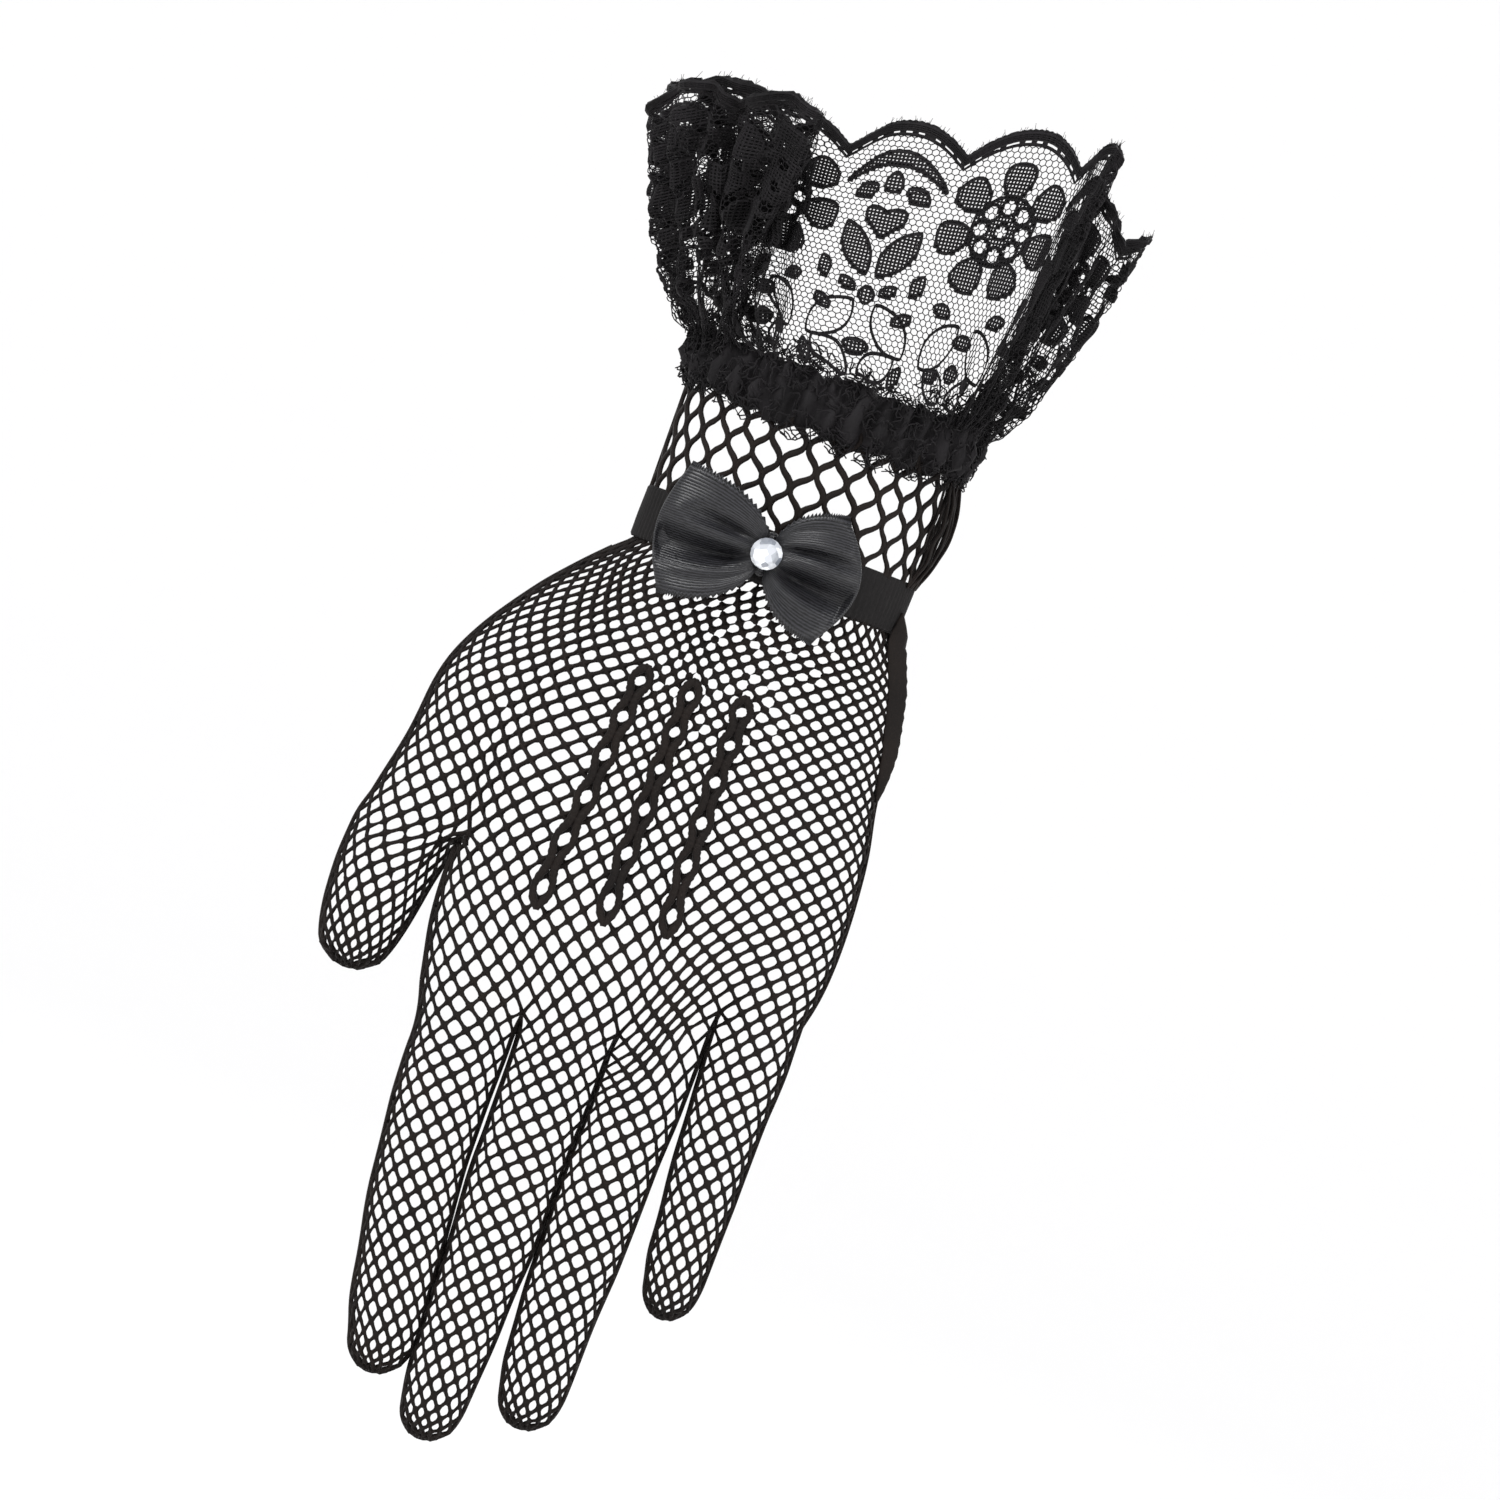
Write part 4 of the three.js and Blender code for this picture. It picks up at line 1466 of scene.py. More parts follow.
@dataclass
class LacePattern:
    """One repeat of the lace laid flat: X along the edge, Y down from the scallops' tops."""

    repeat: float  # mm, two scallops
    height: float = 57.0
    scallop_depth: float = 6.2
    tulle_pitch: float = 1.3
    cloth_pitch: float = 0.74
    petals: int = 7
    flower_depth: float = 20.0
    eye_count: int = 8
    fine: int = 800  # steps in which the edge's length is measured

    def scallop(self, s: float) -> float:
        """Returns how deep the edge lies at a place along it."""
        wave = abs(math.sin(math.pi * s / (self.repeat / 2)))
        return self.scallop_depth * (1 - wave) ** 1.15

    def motifs(self) -> list[Motif]:
        """Lists the figures of the arch scallop, the flower scallop and the ground below."""
        arch, flower = self.repeat * 0.75, self.repeat * 0.25
        rows = [
            Motif("arch", arch, 7.6, 10.2, 1.55),
            Motif("petal", arch, 13.0, 2.2, 2.1, 90),
            Motif("leaf", arch - 5.2, 15.4, 2.6, 1.6, -28),
            Motif("leaf", arch + 5.2, 15.4, 2.6, 1.6, 28),
            Motif("heart", arch, 21.3, 4.4, 4.0),
            Motif("leaf", arch - 4.3, 28.0, 6.2, 2.7, 58),
            Motif("leaf", arch + 4.3, 28.0, 6.2, 2.7, 122),
        ]
        for k in range(self.petals):
            angle = TURN * k / self.petals
            rows.append(Motif("petal", flower + 10.0 * math.sin(angle),
                              self.flower_depth - 10.0 * math.cos(angle),
                              3.6, 4.0, math.degrees(angle) - 90))
        small = ((flower - 7.5, 37.0, 2.2, 1.3, 15), (flower + 7.5, 37.0, 2.2, 1.3, -15),
                 (flower, 42.0, 2.4, 1.4, 0), (arch, 37.5, 1.6, 1.9, 0),
                 (arch - 8.0, 41.0, 2.2, 1.2, 30), (arch + 8.0, 41.0, 2.2, 1.2, -30),
                 (arch, 48.5, 2.6, 1.6, 0), (flower - 6.0, 49.5, 2.2, 1.2, -20),
                 (flower + 6.0, 49.5, 2.2, 1.2, 20), (arch - 9.5, 33.5, 2.4, 1.3, 70),
                 (arch + 9.5, 33.5, 2.4, 1.3, 110), (arch - 4.0, 36.0, 2.0, 1.0, 35),
                 (arch + 4.0, 36.0, 2.0, 1.0, 145), (flower, 48.5, 1.8, 1.8, 0),
                 (arch - 9.0, 52.5, 2.4, 1.2, 60), (arch + 9.0, 52.5, 2.4, 1.2, 120))
        rows += [Motif("leaf", *place, gimp=0.36) for place in small]
        for middle, side in ((arch, -1), (arch, 1), (flower, -1), (flower, 1)):
            for off, depth, long, wide, tilt in ((6.0, 44.0, 6.0, 3.4, 52),
                                                 (4.6, 51.5, 4.6, 2.6, -38)):
                rows.append(Motif("leaf", middle + side * off, depth, long, wide, side * tilt,
                                  filled=False, gimp=0.4))
        return rows

    def eyes(self) -> list[Motif]:
        """Lists the round holes in the middle of the flower."""
        flower = self.repeat * 0.25
        ring = [Motif("disc", flower + 4.8 * math.sin(TURN * k / self.eye_count),
                      self.flower_depth - 4.8 * math.cos(TURN * k / self.eye_count), 1.75, 1.75)
                for k in range(self.eye_count)]
        return [*ring, Motif("disc", flower, self.flower_depth, 1.6, 1.6)]

    def lay_tulle(self, bm: BMesh, figures: Sequence[Sequence[Sequence[Vector]]]) -> None:
        """Lays the hexagon ground wherever no figure covers it.

        Args:
            bm: the mesh.
            figures: the outlines of each figure.
        """
        columns = 2 * round(self.repeat / self.tulle_pitch / 2)
        pitch = self.repeat / columns
        drop = pitch * math.sqrt(3) / 2
        rows = math.ceil(self.height / drop / 2) + 1
        first = []
        for k in range(2):
            bmesh.ops.create_circle(
                bm, cap_ends=True, segments=6, radius=pitch / math.sqrt(3),
                matrix=Matrix.Translation((pitch * k / 2, drop * k, 0)))
        first = tile(bm, bm.faces[:], Vector((pitch, 0, 0)), columns)
        tile(bm, first, Vector((0, drop * 2, 0)), rows)
        bmesh.ops.remove_doubles(bm, verts=bm.verts, dist=pitch / 20)
        boxes = [(min(p.x for p in f[0]), max(p.x for p in f[0]), min(p.y for p in f[0]),
                  max(p.y for p in f[0]), f) for f in figures]
        gone = []
        for face in bm.faces:
            middle = face.calc_center_median()
            covered = any(x0 < middle.x + shift < x1 and y0 < middle.y < y1
                          and inside(middle + Vector((shift, 0, 0)), f)
                          for x0, x1, y0, y1, f in boxes
                          for shift in (-self.repeat, 0, self.repeat))
            if covered or middle.y < self.scallop(middle.x) + 2.6 or middle.y > self.height:
                gone.append(face)
        bmesh.ops.delete(bm, geom=gone, context="FACES")

    def lay_figure(self, bm: BMesh, outlines: Sequence[Sequence[Vector]], gimp: float) -> None:
        """Weaves one figure and lays its outline.

        Args:
            bm: the mesh.
            outlines: the figure's outline and its holes.
            gimp: the outline's width.
        """
        xs, ys = [p.x for p in outlines[0]], [p.y for p in outlines[0]]
        columns = math.ceil((max(xs) - min(xs)) / self.cloth_pitch) + 1
        rows = math.ceil((max(ys) - min(ys)) / self.cloth_pitch) + 1
        size = Matrix.Diagonal((columns * self.cloth_pitch / 2, rows * self.cloth_pitch / 2, 1, 1))
        middle = Matrix.Translation(((max(xs) + min(xs)) / 2, (max(ys) + min(ys)) / 2, 0))
        made = bmesh.ops.create_grid(
            bm, x_segments=columns, y_segments=rows, size=1, matrix=middle @ size)["verts"]
        faces = {face for vert in made for face in vert.link_faces}
        outside = [face for face in faces if not inside(face.calc_center_median(), outlines)]
        bmesh.ops.delete(bm, geom=outside, context="FACES")
        for face in faces.difference(outside):
            face.material_index = Stitch.CLOTH.value
        for outline in outlines:
            strip(bm, outline, gimp, Stitch.GIMP.value)

    def lay_border(self, bm: BMesh) -> None:
        """Lays the scalloped border: close rows, then a ladder with a hole at every other rung.

        Args:
            bm: the mesh.
        """
        rungs = round(self.repeat * 1.12 / 1.15 / 2) * 2
        places = (self.repeat * k / self.fine for k in range(self.fine + 1))
        edge = [Vector((s, self.scallop(s), 0)) for s in places]
        lengths = run_lengths(edge)
        line = []
        for rung in range(rungs + 1):
            k, share = find_step(lengths, lengths[-1] * rung / rungs)
            line.append(edge[k].lerp(edge[k + 1], share))
        offsets = (0.0, 0.42, 0.84, 1.26, 2.3, 2.65)
        ladder = 3  # the row with the holes
        verts = [bmesh.ops.create_vert(bm, co=point)["vert"][0] for point in line]
        edges = [bm.edges.new(pair) for pair in zip(verts, verts[1:])]
        for row, (near, far) in enumerate(zip(offsets, offsets[1:])):
            finish = Stitch.GIMP if row >= ladder else Stitch.CLOTH
            verts, edges, faces = extrude_row(bm, verts, edges, finish.value)
            for vert in verts:
                vert.co.y += far - near
            if row == ladder:
                holes = [face for face in faces if round(
                    face.calc_center_median().x * rungs / self.repeat - 0.5) % 2 == 0]
                bmesh.ops.delete(bm, geom=holes, context="FACES_ONLY")
        teeth = bmesh.ops.extrude_edge_only(
            bm, edges=[e for e in bm.edges if e.is_valid and e.is_boundary
                       and all(abs(v.co.y - self.scallop(v.co.x)) < 0.01 for v in e.verts)])["geom"]
        for item in teeth:
            if isinstance(item, BMFace):
                item.material_index = Stitch.GIMP.value
            if isinstance(item, BMVert):
                rung = round(item.co.x / self.repeat * rungs)
                item.co.y -= 0.12 if rung % 2 else 0.5
        seams = [edge for edge in bm.edges
                 if len({face.material_index for face in edge.link_faces}) > 1]
        bmesh.ops.split_edges(bm, edges=seams)
        for vert in bm.verts:  # a hair apart, so that the rows stay parted when repeats are joined
            if any(face.material_index == Stitch.GIMP.value for face in vert.link_faces):
                vert.co.y += 0.04

    def lay_flat(self) -> BMesh:
        """Returns one repeat of the whole lace, laid flat."""
        bm = bmesh.new()
        motifs, eyes = self.motifs(), self.eyes()
        disc = Motif("disc", self.repeat * 0.25, self.flower_depth, 6.9, 6.9)
        figures = [([motif.outline()], motif.gimp) for motif in motifs if motif.filled]
        figures.append(([disc.outline(), *(eye.outline() for eye in eyes)], disc.gimp))
        self.lay_tulle(bm, [outlines for outlines, _ in figures])
        for outlines, gimp in figures:
            self.lay_figure(bm, outlines, gimp)
        for motif in motifs:
            if not motif.filled:
                strip(bm, motif.outline(), motif.gimp, Stitch.GIMP.value)
        border = bmesh.new()
        self.lay_border(border)
        join(bm, border)
        return bm


@dataclass
class LaceFrill:
    """The standing frill: a straight strip of lace, gathered at its foot into folds.

    The strip begins in the middle of a scallop at the little-finger side and runs over the near
    side to the thumb side. The far side mirrors the near one, and so does its pattern.
    """

    repeats: int = 9
    repeat: float = 47.4  # mm, two scallops
    start: float = 0.75  # the pattern's place at the strip's start, as a share of a repeat
    ear: tuple[float, float] = (-38.0, -2.0)  # degrees at the foot, where the lace is crushed
    roll: float = -113.0  # degrees at the foot, past which it is crushed harder
    pleat: float = 7.6  # mm of the strip in one pleat of the roll
    pleat_depth: float = 1.8
    crumple: float = 2.0
    foot: float = 33.95  # height of the lace's foot
    spread: float = 3.2  # mm outside the wrist, at the foot
    opening: float = 0.62  # below 1 the folds open out soon above the seam
    levels: int = 24
    fine_gathers: int = 48
    fine_depth: float = 1.2
    thread: tuple[float, float] = (0.22, 0.6)  # mm at the corners of the tulle and of the cloth
    gimp: float = 0.34
    whiskers: int = 46  # loose thread ends to a repeat of the border
    panels: tuple[tuple[str, int, int], ...] = (
        ("lace_front", 0, 3), ("lace_thumb_side", 3, 6), ("lace_back", 6, 9))

    # Each fold of the near side: its angle at the foot, and its place at the edge
    folds: tuple[tuple[float, float, float, float], ...] = (
        (0, 44, 0, 79.5), (-9, 42.5, -5, 80.3), (-18, 36, -9.5, 82), (-27, 31.5, -11.5, 86),
        (-33, 33, -18, 92.5), (-38, 27.5, -26, 93), (-47, 18, -31.5, 90.5),
        (-64, 6.5, -34.5, 87), (-88, -6, -33, 83.3), (-112, -14.5, -27, 80.5),
        (-119, -28, -21, 79), (-125, -42, -18, 76), (-130, -43, -24, 78),
        (-135, -33, -27, 80), (-141, -19.5, -33, 79), (-147, -24, -35.5, 80),
        (-154, -37, -31, 80.5), (-161, -48, -23, 75), (-168, -51, -14, 70.5),
        (-174, -47, -6, 71), (-180, -44, 0, 72.5))
    # (fold, scallops of the strip up to it); between two of these the strip is spread evenly
    marks: tuple[tuple[int, float], ...] = ((0, 0.0), (5, 2.5), (7, 3.5), (9, 4.5), (20, 9.0))

    columns: list[tuple[float, Vector, float]] = field(init=False)  # 1 mm of the strip apart
    length: float = field(init=False)
    grid: list[list[Vector]] = field(init=False)
    normals: list[list[Vector]] = field(init=False)

    def __post_init__(self) -> None:
        """Works out the strip's length and its surface."""
        self.length = self.repeats * self.repeat
        near = self.trace_edge()
        self.columns = near + [(-angle, Vector((place.x, -place.y, place.z)), crushed)
                               for angle, place, crushed in near[-2:0:-1]]
        self.grid = [[self.fold_point(k, level / self.levels) for level in range(self.levels + 1)]
                     for k in range(len(self.columns))]
        self.normals = []
        count = len(self.grid)
        for k, column in enumerate(self.grid):
            before, after = self.grid[(k - 1) % count], self.grid[(k + 1) % count]
            row = []
            for level in range(self.levels + 1):
                low, high = max(level - 1, 0), min(level + 1, self.levels)
                normal = (after[level] - before[level]).cross(column[high] - column[low])
                row.append(normal.normalized())
            self.normals.append(row)

    def crushed(self, angle: float) -> float:
        """Returns how crushed the lace is at an angle of its foot, from 0 to 1."""
        first, last = self.ear
        ear = 0.7 * ease((angle - first) / 8) * ease((last - angle) / 8)
        return max(ear, ease((self.roll - angle) / 6))

    def trace_edge(self) -> list[tuple[float, Vector, float]]:
        """Runs a smooth curve through the folds of the near side and walks it.

        Returns:
            The foot's angle, the edge's place and how crushed the lace is, at every mm of the
            strip.
        """
        steps, scallop = 24, self.repeat / 2
        edge = [Vector(row[1:]) for row in self.folds]
        flip = Vector((1, -1, 1))
        edge = [edge[1] * flip, *edge, edge[-2] * flip]
        walk: list[tuple[float, Vector]] = []
        for number in range((len(self.folds) - 1) * steps + 1):
            k = min(number // steps, len(self.folds) - 2)
            share = number / steps - k
            p = edge[k:k + 4]
            gaps = [(b - a).length ** 0.5 for a, b in zip(p, p[1:])]
            start = ((p[1] - p[0]) / gaps[0] - (p[2] - p[0]) / (gaps[0] + gaps[1])
                     + (p[2] - p[1]) / gaps[1]) * gaps[1]
            end = ((p[2] - p[1]) / gaps[1] - (p[3] - p[1]) / (gaps[1] + gaps[2])
                   + (p[3] - p[2]) / gaps[2]) * gaps[1]
            a = p[1] * 2 - p[2] * 2 + start + end
            b = p[2] * 3 - p[1] * 3 - start * 2 - end
            place = a * share ** 3 + b * share ** 2 + start * share + p[1]
            walk.append((lerp(self.folds[k][0], self.folds[k + 1][0], share), place))
        lengths = run_lengths([place for _, place in walk])
        table = [(lengths[fold * steps], scallops * scallop) for fold, scallops in self.marks]
        strip_at = [along_table(table, at, soft=False) for at in lengths]
        columns, count = [], round(self.length / 2)
        for number in range(count + 1):
            k, share = find_step(strip_at, self.length / 2 * number / count)
            angle = lerp(walk[k][0], walk[k + 1][0], share)
            columns.append((angle, walk[k][1].lerp(walk[k + 1][1], share), self.crushed(angle)))
        return columns

    def fold_point(self, column: int, up: float) -> Vector:
        """Returns a point of the folded surface, at a share of the height above the foot."""
        angle, edge, _ = self.columns[column]
        foot = wrist_point(math.radians(angle), self.spread, self.foot)
        across = max(up, 0.0) ** self.opening
        return Vector((lerp(foot.x, edge.x, across), lerp(foot.y, edge.y, across),
                       lerp(foot.z, edge.z, up)))

    def place(self, s: float, up: float, lift: float) -> Vector:
        """Maps a point of the flat strip onto the folds.

        Args:
            s: mm along the edge from the seam.
            up: share of the height above the foot.
            lift: mm off the lace's middle.

        Returns:
            The point in space.
        """
        count = len(self.grid)
        column = s / self.length * count
        k, share = int(math.floor(column)) % count, column % 1
        level = min(max(up, 0.0), 1.0) * self.levels
        j = min(int(level), self.levels - 1)
        rise = level - j
        spots = []
        for table in (self.grid, self.normals):
            left = table[k][j].lerp(table[k][j + 1], rise)
            right = table[(k + 1) % count][j].lerp(table[(k + 1) % count][j + 1], rise)
            spots.append(left.lerp(right, share))
        point, normal = spots
        if up < 0 or up > 1:
            point = point + (self.grid[k][1] - self.grid[k][0]).normalized() * min(up, 0) * 57
            point.z += max(up - 1, 0) * 57
        near = min(s % self.length, -s % self.length)  # the same on both sides of the wrist
        fine = self.fine_depth * max(0.0, 1 - up / 0.5) ** 1.3
        wander = 1.6 * noise.noise(Vector((near * 0.05, up * 1.5, 0)))
        ripple = fine * math.sin(TURN * self.fine_gathers * near / self.length + 3 * wander)
        broad = 0.9 * noise.noise(Vector((near * 0.11, up * 2.2, 9)))
        turn = TURN * s / self.pleat + 4 * noise.noise(Vector((s * 0.07, up * 2.5, 4)))
        crumple = self.crumple * noise.noise(Vector((s * 0.2, up * 9, 2)))
        pleat = self.columns[k][2] * (self.pleat_depth * math.sin(turn) * ease(up * 5) + crumple)
        point += normal.normalized() * (ripple + broad * ease(up * 4) + pleat + lift)
        return line_up(point)

    def fray(self, bm: BMesh, pattern: LacePattern, first: int, last: int) -> None:
        """Adds the fine thread ends that stand out of the border.

        Args:
            bm: the panel's mesh.
            pattern: the lace's pattern.
            first: the number of the first repeat.
            last: the number after the last one.
        """
        draw = random.Random(first)
        for _ in range(self.whiskers * (last - first)):
            s = draw.uniform(first, last) * self.repeat
            reach, lean = draw.uniform(0.5, 1.9), draw.gauss(0, 0.5)
            root = pattern.scallop(s % self.repeat)
            path = [self.place(s - self.repeat * self.start + lean * t,
                               1 - (root - reach * t) / pattern.height,
                               draw.uniform(-0.5, 0.5) * t) for t in (0, 0.5, 1)]
            sweep(bm, path, lambda share: (0.07 - 0.03 * share,) * 2, 3,
                  lambda point: Vector((0, 0.3, 1)))

    def sew(self, flat: BMesh, first: int, last: int, height: float) -> BMesh:
        """Takes some repeats of the flat lace, gathers them and gives the threads their size.

        Args:
            flat: one repeat, laid flat.
            first: the number of the first repeat.
            last: the number after the last one.
            height: the strip's height.

        Returns:
            The mesh of the panel.
        """
        bm = flat.copy()
        tile(bm, bm.faces[:], Vector((self.repeat, 0, 0)), last - first)
        bmesh.ops.remove_doubles(bm, verts=bm.verts, dist=0.02)
        for vert in bm.verts:
            gimp = any(face.material_index == Stitch.GIMP.value for face in vert.link_faces)
            s = vert.co.x + self.repeat * (first - self.start)
            vert.co = self.place(s, 1 - vert.co.y / height, 0.1 if gimp else 0.0)
        middles = KDTree(len(bm.verts))
        for k, vert in enumerate(bm.verts):
            middles.insert(vert.co, k)
        middles.balance()
        by_stitch = {stitch: [face for face in bm.faces if face.material_index == stitch.value]
                     for stitch in Stitch}
        bmesh.ops.solidify(bm, geom=by_stitch[Stitch.GIMP], thickness=self.gimp)
        for stitch, thread in zip((Stitch.TULLE, Stitch.CLOTH), self.thread):
            bmesh.ops.wireframe(bm, faces=by_stitch[stitch], thickness=thread, use_replace=True,
                                use_boundary=True, use_even_offset=False)
        for vert in bm.verts:  # no thread leaps away where the lace is folded sharply
            middle, _, away = middles.find(vert.co)
            if away > self.gimp:
                vert.co = middle.lerp(vert.co, self.gimp / away)
        bmesh.ops.recalc_face_normals(bm, faces=bm.faces)
        return bm

    def build(self) -> None:
        """Makes the frill's panels."""
        pattern = LacePattern(self.repeat)
        flat = pattern.lay_flat()
        thread = LaceThread().material()
        for name, first, last in self.panels:
            bm = self.sew(flat, first, last, pattern.height)
            self.fray(bm, pattern, first, last)
            piece = make_piece(name, "lace_ruffle", "lace", bm, *[thread] * len(Stitch))
        flat.free()


# The bow


@dataclass
class RibbonLoop:
    """One loop of the satin bow: a ribbon that runs out from the knot, folds over and back."""

    side: int  # -1 towards the thumb, 1 towards the little finger
    node: str
    top_corner: tuple[float, float]  # from the knot, in mm
    reach: tuple[float, float]
    bottom_corner: tuple[float, float]
    creases: tuple[tuple[float, float, float, float], ...]  # across, depth, width, length
    ribbon: float = 25.0  # mm, the width of the ribbon as it was cut
    puff: float = 4.6
    along: int = 104
    across: int = 30
    pinch: float = 2.4
    tooth: float = 0.65
    thickness: float = 0.3

    def outer(self, w: float) -> Vector:
        """Returns the outer fold's place at a share across the ribbon, from -1 to 1."""
        t = (w + 1) / 2
        shares = ((1 - t) ** 2, 2.6 * t * (1 - t), t * t)
        corners = (self.bottom_corner, self.reach, self.top_corner)
        x, z = (sum(share * corner[axis] for share, corner in zip(shares, corners)) / sum(shares)
                for axis in (0, 1))
        return Vector((x, 0, z))

    def point(self, u: float, w: float) -> Vector:
        """Returns a point of the ribbon.

        Args:
            u: share of its length, 0 and 1 at the knot and 0.5 at the outer fold.
            w: share across it, from -1 at the bottom to 1 at the top.

        Returns:
            The point, from the knot's middle.
        """
        out = max(math.sin(math.pi * u), 0.0) ** 0.9
        far = self.outer(w)
        spread = math.sin(math.pi / 2 * out ** 0.62)
        x = lerp(0.6, far.x, out)
        z = lerp(self.pinch * w, far.z, spread)
        hump = math.cos(math.pi * u) * max(math.sin(math.pi * u), 0.0) ** 0.5
        y = -self.puff * hump * (1 - 0.35 * abs(w) ** 2.5)
        front = ease((0.5 - u) * 7)
        for place, deep, width, length in self.creases:
            near = ease(u * 10) * math.exp(-((u / 0.5) / length) ** 4)
            y += front * deep * near * math.exp(-((w - place) / (width * (0.5 + 1.2 * u))) ** 2)
        y += 0.35 * front * noise.noise(Vector((u * 5, w * 4, self.side * 3)))
        return Vector((self.side * x, y, z))

    def build(self, centre: Vector) -> None:
        """Makes the loop.

        Args:
            centre: the knot's middle.
        """
        bm = bmesh.new()
        bm.loops.layers.uv.new("ribbon")
        bmesh.ops.create_grid(bm, x_segments=self.along, y_segments=self.across, size=0.5,
                              calc_uvs=True)
        for vert in bm.verts:
            u, w = vert.co.x + 0.5, vert.co.y * 2
            point = self.point(u, w)
            if abs(w) > 0.999 and round(u * self.along) % 2:
                point.z += math.copysign(self.tooth, w)
            vert.co = point + centre
        bmesh.ops.recalc_face_normals(bm, faces=bm.faces)
        name = f"ribbon_{'left' if self.side < 0 else 'right'}"
        piece = make_piece(name, self.node, "satin", bm, SatinRibbon().material(self.ribbon))
        wall = piece.modifiers.new("ribbon_thickness", "SOLIDIFY")
        wall.thickness = self.thickness * MM
        wall.offset = 0


@dataclass
class Bow:
    """The satin bow: two loops, the pinched middle and the stone on it."""

    x: float = -1.5
    z: float = -0.5
    sunk: float = 0.7  # mm that the back of the knot is pressed towards the band
    turn: float = 8.0  # mm, the width of the ribbon's turn at the knot

    def build(self) -> None:
        """Makes the loops, the knot and the stone."""
        low, high = box_of("bow_loop_left")
        centre = Vector((self.x, (low.y + high.y) / 2, self.z))
        self.make_knot()
        RibbonLoop(-1, "bow_loop_left", (18.6, 10.6), (23.5, -2.5), (16.4, -13.2),
                   ((-0.2, 5.0, 0.34, 1.2), (0.42, 2.6, 0.2, 0.5),
                    (-0.72, 0.9, 0.16, 0.7))).build(centre)
        RibbonLoop(1, "bow_loop_right", (11.9, 11.2), (22.3, 0.5), (13.4, -12.2),
                   ((0.34, 2.8, 0.13, 0.7), (-0.32, 5.0, 0.32, 1.0),
                    (0.78, 0.8, 0.14, 0.6), (-0.8, 0.9, 0.12, 0.6))).build(centre)
        self.make_stone()

    def make_knot(self) -> None:
        """Makes the pinched middle, a turn of ribbon drawn into upright folds."""
        low, high = box_of("bow_knot")
        high.y += self.sunk
        middle = (low + high) / 2
        half = (high - low) / 2
        bm = bmesh.new()
        bm.loops.layers.uv.new("ribbon")
        bmesh.ops.create_uvsphere(bm, u_segments=40, v_segments=20, radius=1.0, calc_uvs=True)
        for vert in bm.verts:
            turn = math.atan2(vert.co.y, vert.co.x)
            fold = 1 + 0.1 * math.cos(9 * turn) * (1 - abs(vert.co.z) ** 3)
            waist = 0.86 + 0.14 * vert.co.z ** 2
            vert.co = middle + Vector((vert.co.x * half.x * fold * waist,
                                       vert.co.y * half.y * fold * waist,
                                       math.copysign(abs(vert.co.z) ** 0.8, vert.co.z) * half.z))
        make_piece("ribbon_knot", "bow_knot", "satin", bm, SatinRibbon().material(self.turn))

    def make_stone(self) -> None:
        """Makes the faceted stone and the foil under it."""
        low, high = box_of("rhinestone")
        middle = (low + high) / 2
        radius = (high.x - low.x) / 2
        deep = high.y - low.y
        rows = (  # share of the radius, share of the depth, corners, turn
            (1.0, 0.12, 16, 0.0), (1.0, 0.32, 16, 0.0), (0.84, 0.66, 8, 0.5),
            (0.58, 1.0, 8, 0.0))
        bm = bmesh.new()
        for share, up, corners, turn in rows:
            angle = TURN * turn / corners + TURN / 16
            bmesh.ops.create_circle(
                bm, cap_ends=False, segments=corners, radius=radius * share,
                matrix=Matrix.Translation((middle.x, high.y - deep * up, middle.z))
                @ Matrix.Rotation(math.pi / 2, 4, "X") @ Matrix.Rotation(angle, 4, "Z"))
        bmesh.ops.delete(bm, geom=bm.edges[:], context="EDGES_FACES")
        bmesh.ops.convex_hull(bm, input=bm.verts)
        bmesh.ops.dissolve_limit(bm, angle_limit=math.radians(2), verts=bm.verts, edges=bm.edges)
        bmesh.ops.recalc_face_normals(bm, faces=bm.faces)
        stone = make_piece("stone", "rhinestone", "stone", bm, CutGlass().material())
        for polygon in stone.data.polygons:
            polygon.use_smooth = False
        bm = bmesh.new()
        bmesh.ops.create_cone(
            bm, cap_ends=True, segments=32, radius1=radius * 0.98, radius2=radius * 0.9,
            depth=deep * 0.08,
            matrix=Matrix.Translation((middle.x, high.y - deep * 0.04, middle.z))
            @ Matrix.Rotation(math.pi / 2, 4, "X"))
        make_piece("stone_foil", "rhinestone", "stone", bm, SilverFoil().material())


# The studio


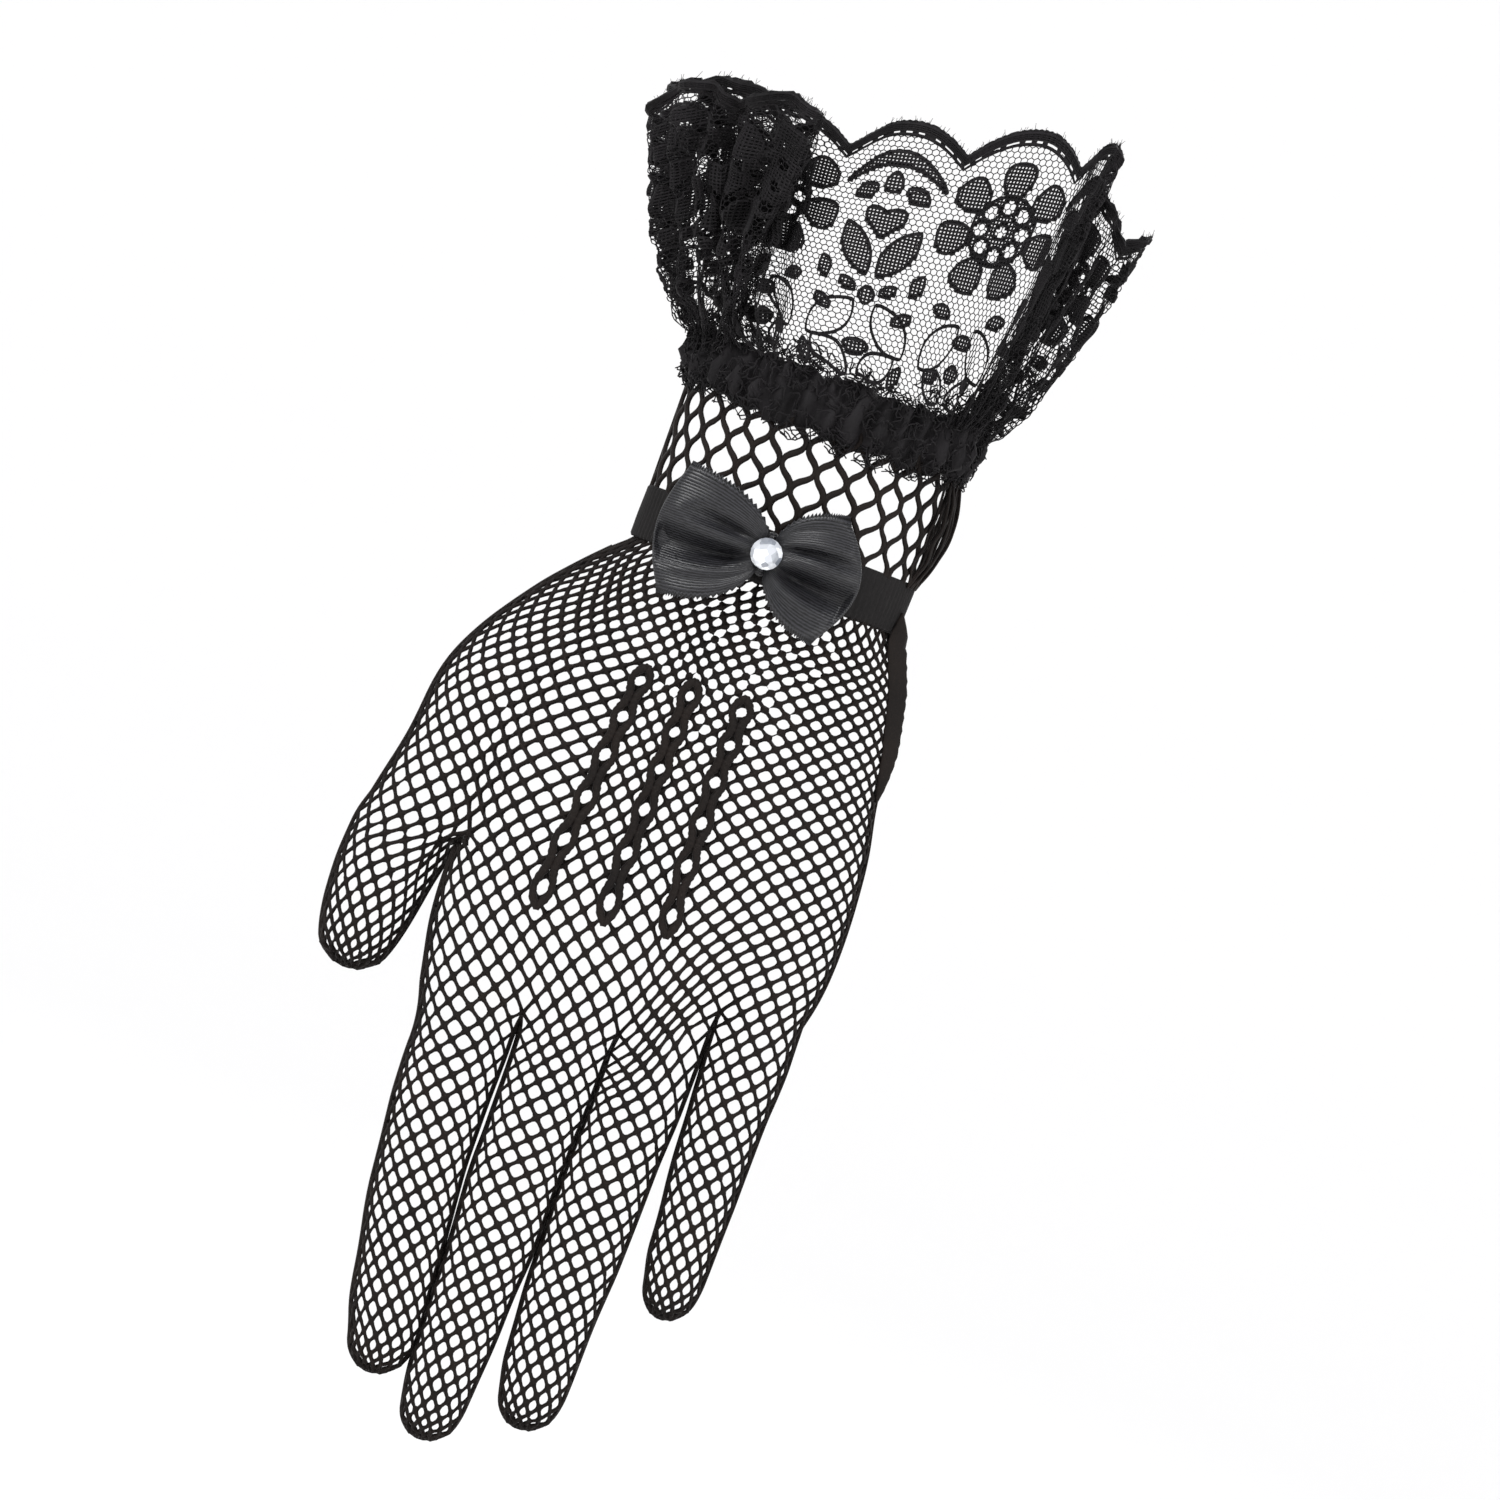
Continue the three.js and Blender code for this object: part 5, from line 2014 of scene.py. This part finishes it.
@dataclass
class Studio:
    """A pale round floor that rises into a wall, soft lights and the camera."""

    floor: float = -0.24  # m
    radius: float = 8.0
    rise: float = 2.5
    view_distance: float = 6.0
    photo_pixels: int = 1500
    pixel: float = 0.185 * MM  # the photograph's scale at the glove
    roll: float = math.radians(20.97)  # the glove leans this far in the picture
    aim: tuple[float, float, float] = (0.0086, 0.0, -0.0353)

    def build(self) -> None:
        """Makes the floor, the lights, the world and the camera."""
        self.make_floor()
        self.make_lights()
        self.make_camera()

    def make_floor(self) -> None:
        """Makes the floor as a dish, so that it closes the view from every side."""
        bm = bmesh.new()
        bmesh.ops.create_circle(bm, cap_ends=True, segments=96, radius=self.radius)
        bmesh.ops.translate(bm, vec=Vector((0, 0, self.floor)), verts=bm.verts)
        edges = [edge for edge in bm.edges if edge.is_boundary]
        steps = 10
        for k in range(1, steps + 1):
            made = bmesh.ops.extrude_edge_only(bm, edges=edges)["geom"]
            verts = [item for item in made if isinstance(item, BMVert)]
            edges = [item for item in made if isinstance(item, BMEdge) and item.is_boundary]
            angle = math.pi / 2 * k / steps
            out = self.radius + self.rise * math.sin(angle)
            up = self.floor + self.rise * (1 - math.cos(angle))
            for vert in verts:
                flat = Vector((vert.co.x, vert.co.y, 0)).normalized() * out
                vert.co = Vector((flat.x, flat.y, up))
        to_object("studio_floor", bm, PaleFloor().material())

    def make_lights(self) -> None:
        """Hangs three soft boxes round the glove and lights the room evenly."""
        world = bpy.data.worlds.new("soft_room")
        bpy.context.scene.world = world
        world.use_nodes = True
        world.node_tree.nodes["Background"].inputs["Color"].default_value = linear("#fbfcff")
        world.node_tree.nodes["Background"].inputs["Strength"].default_value = 1.12
        boxes = (  # name, place, size, watts
            ("key_box", (-0.7, -1.0, 1.1), 0.6, 34.0),
            ("fill_box", (1.1, -0.9, 0.3), 0.8, 12.0),
            ("back_box", (0.3, 1.3, 0.8), 1.2, 14.0),
        )
        for name, place, size, watts in boxes:
            light = bpy.data.lights.new(name, "AREA")
            light.shape = "DISK"
            light.size = size
            light.energy = watts
            lamp = bpy.data.objects.new(name, light)
            lamp.location = place
            aim = Vector(self.aim) - Vector(place)
            lamp.rotation_euler = aim.to_track_quat("-Z", "Y").to_euler()
            bpy.context.scene.collection.objects.link(lamp)

    def make_camera(self) -> None:
        """Looks square at the back of the hand, rolled so that the glove leans as in the photo."""
        data = bpy.data.cameras.new("camera")
        data.sensor_width = 36.0
        data.lens = data.sensor_width * self.view_distance / (self.photo_pixels * self.pixel)
        data.clip_start, data.clip_end = 0.01, 30.0
        camera = bpy.data.objects.new("camera", data)
        right = Vector((math.cos(self.roll), 0, math.sin(self.roll)))
        up = Vector((-math.sin(self.roll), 0, math.cos(self.roll)))
        turn = Matrix((right, up, right.cross(up))).transposed()
        place = Vector(self.aim) + right.cross(up) * self.view_distance
        camera.matrix_world = Matrix.Translation(place) @ turn.to_4x4()
        bpy.context.scene.collection.objects.link(camera)
        bpy.context.scene.camera = camera
        bpy.context.scene.view_settings.view_transform = "Standard"


def main() -> None:
    """Builds the studio and every piece of the glove."""
    Studio().build()
    hand = KnittedHand()
    hand.build()
    ElasticBand().build()
    WideMesh().build()
    GatheredHeading().build()
    for number, (column, _, _) in enumerate(reversed(hand.chains), 1):
        BackChain(number, column).build(hand)
    LaceFrill().build()
    Bow().build()


if __name__ == "__main__":
    main()
